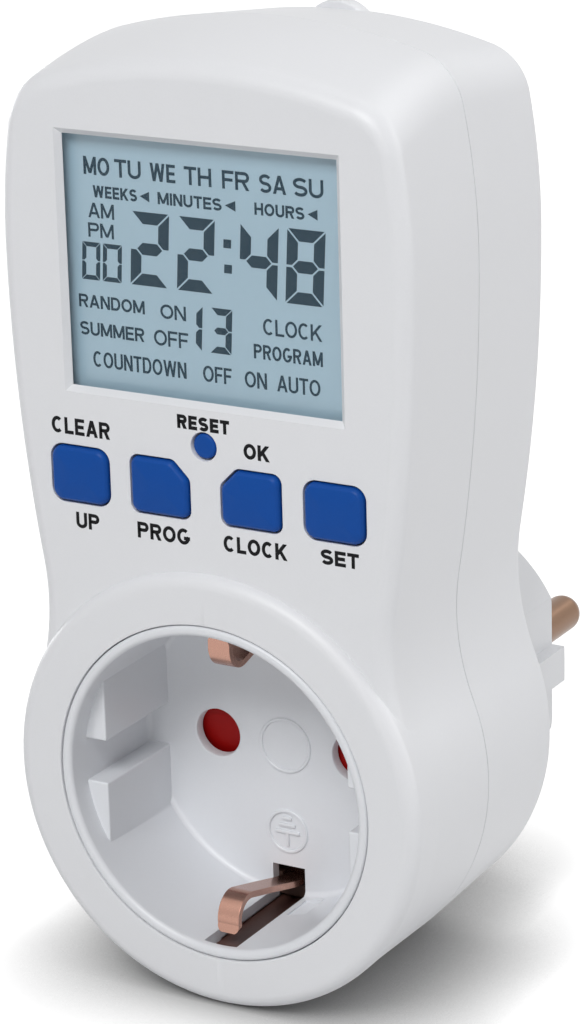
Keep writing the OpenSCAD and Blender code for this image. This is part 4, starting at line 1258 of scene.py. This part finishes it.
# Each lamp's name, place, width and height, and power in watts
LAMP_AIM = (0, -0.04, 0.03)
LAMPS = [
    ("key_light", (0.1, -1.0, 1.0), (0.7, 0.5), 11.9),
    ("front_light", (0.4, -1.2, 0.1), (0.5, 0.4), 1.5),
    ("side_light", (0.9, 0.35, 0.4), (0.6, 0.9), 4.2),
    ("top_light", (0.0, 0.1, 1.0), (0.8, 0.8), 1.4),
    ("rear_light", (0.5, 0.8, 0.9), (0.8, 0.6), 2.3),
    ("left_light", (-1.0, 0.5, 0.04), (0.8, 0.1), 3),
]


def facing(at, aim):
    """The turn by which a camera or lamp looks from one place to another."""
    return (Vector(aim) - Vector(at)).to_track_quat("-Z", "Y")


def camera():
    data = bpy.data.cameras.new("camera")
    data.lens = CAMERA_LENS
    data.sensor_width = 36
    data.clip_start = 0.01
    piece = linked(data, "camera")
    piece.location = Vector(CAMERA_AT) * MM
    way = facing(CAMERA_AT, CAMERA_AIM).to_matrix().to_4x4()
    piece.rotation_euler = (way @ Matrix.Rotation(math.radians(CAMERA_ROLL), 4, "Z")).to_euler()
    bpy.context.scene.camera = piece


def lamp(name, at, size, power):
    data = bpy.data.lights.new(name, "AREA")
    data.shape = "RECTANGLE"
    data.size, data.size_y = size
    data.energy = power
    piece = linked(data, name)
    piece.location = at
    piece.rotation_euler = facing(at, LAMP_AIM).to_euler()


def seen_directly(tree):
    """A value: 1 for what the camera, metal and glass see, 0 for what lights the object."""
    path = tree.nodes.new("ShaderNodeLightPath")
    seen = path.outputs["Is Camera Ray"]
    for name in ("Is Glossy Ray", "Is Transmission Ray"):
        seen = maths(tree, "MAXIMUM", seen, path.outputs[name])
    return seen


def world():
    scene_world = bpy.data.worlds.new("studio")
    bpy.context.scene.world = scene_world
    scene_world.use_nodes = True
    tree = scene_world.node_tree
    strength = made(tree, "ShaderNodeMapRange", Value=seen_directly(tree), To_Min=WORLD_POWER,
                    To_Max=1.0)
    fed(tree, tree.nodes["Background"], Color=(1, 1, 1, 1), Strength=strength.outputs["Result"])


def floor():
    """A floor that glows white where it is seen, with a partly painted shadow of the object."""
    bpy.ops.mesh.primitive_plane_add(size=FLOOR_SIZE, location=(0, 0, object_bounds()[0].z))
    piece = bpy.context.object
    piece.name = "studio_floor"
    material = bpy.data.materials.new("studio_floor")
    material.use_nodes = True
    tree = material.node_tree
    seen = seen_directly(tree)
    grey = made(tree, "ShaderNodeMapRange", Value=seen, To_Min=FLOOR_GREY,
                To_Max=FLOOR_GREY_SEEN)
    shader = fed(tree, tree.nodes["Principled BSDF"], Base_Color=grey.outputs["Result"],
                 Roughness=0.9, Specular_IOR_Level=0)
    # Painted shadow: near the object the floor's glow fades with ambient occlusion
    painted_shadow_ao = made(tree, "ShaderNodeAmbientOcclusion", Distance=SHADOW_REACH)
    painted_shadow_ao.samples = 8
    painted_shadow_fade = maths(tree, "POWER", painted_shadow_ao.outputs["AO"], SHADOW_POWER)
    glow = made(tree, "ShaderNodeEmission", Color=(1, 1, 1, 1),
                Strength=maths(tree, "MULTIPLY", seen, painted_shadow_fade))
    total = tree.nodes.new("ShaderNodeAddShader")
    feed(tree, total.inputs[0], shader.outputs[0])
    feed(tree, total.inputs[1], glow.outputs[0])
    feed(tree, tree.nodes["Material Output"].inputs["Surface"], total.outputs[0])
    piece.data.materials.append(material)
    piece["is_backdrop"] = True


def studio():
    bpy.context.scene.view_settings.view_transform = "Standard"
    camera()
    for entry in LAMPS:
        lamp(*entry)
    world()
    floor()


# ---- The whole ----

studio()
finish_nodes()
front_cover()
rear_cover()
socket_insert()
floor_marks()
slot_shade_linings()
earth_clips()
plug_pin("line_pin")
plug_pin("neutral_pin")
earth_bracket()
for key_node in KEYS:
    key_cap(key_node)
reset_cap()
key_mat()
shutter_spring()
display_print()
face_labels()
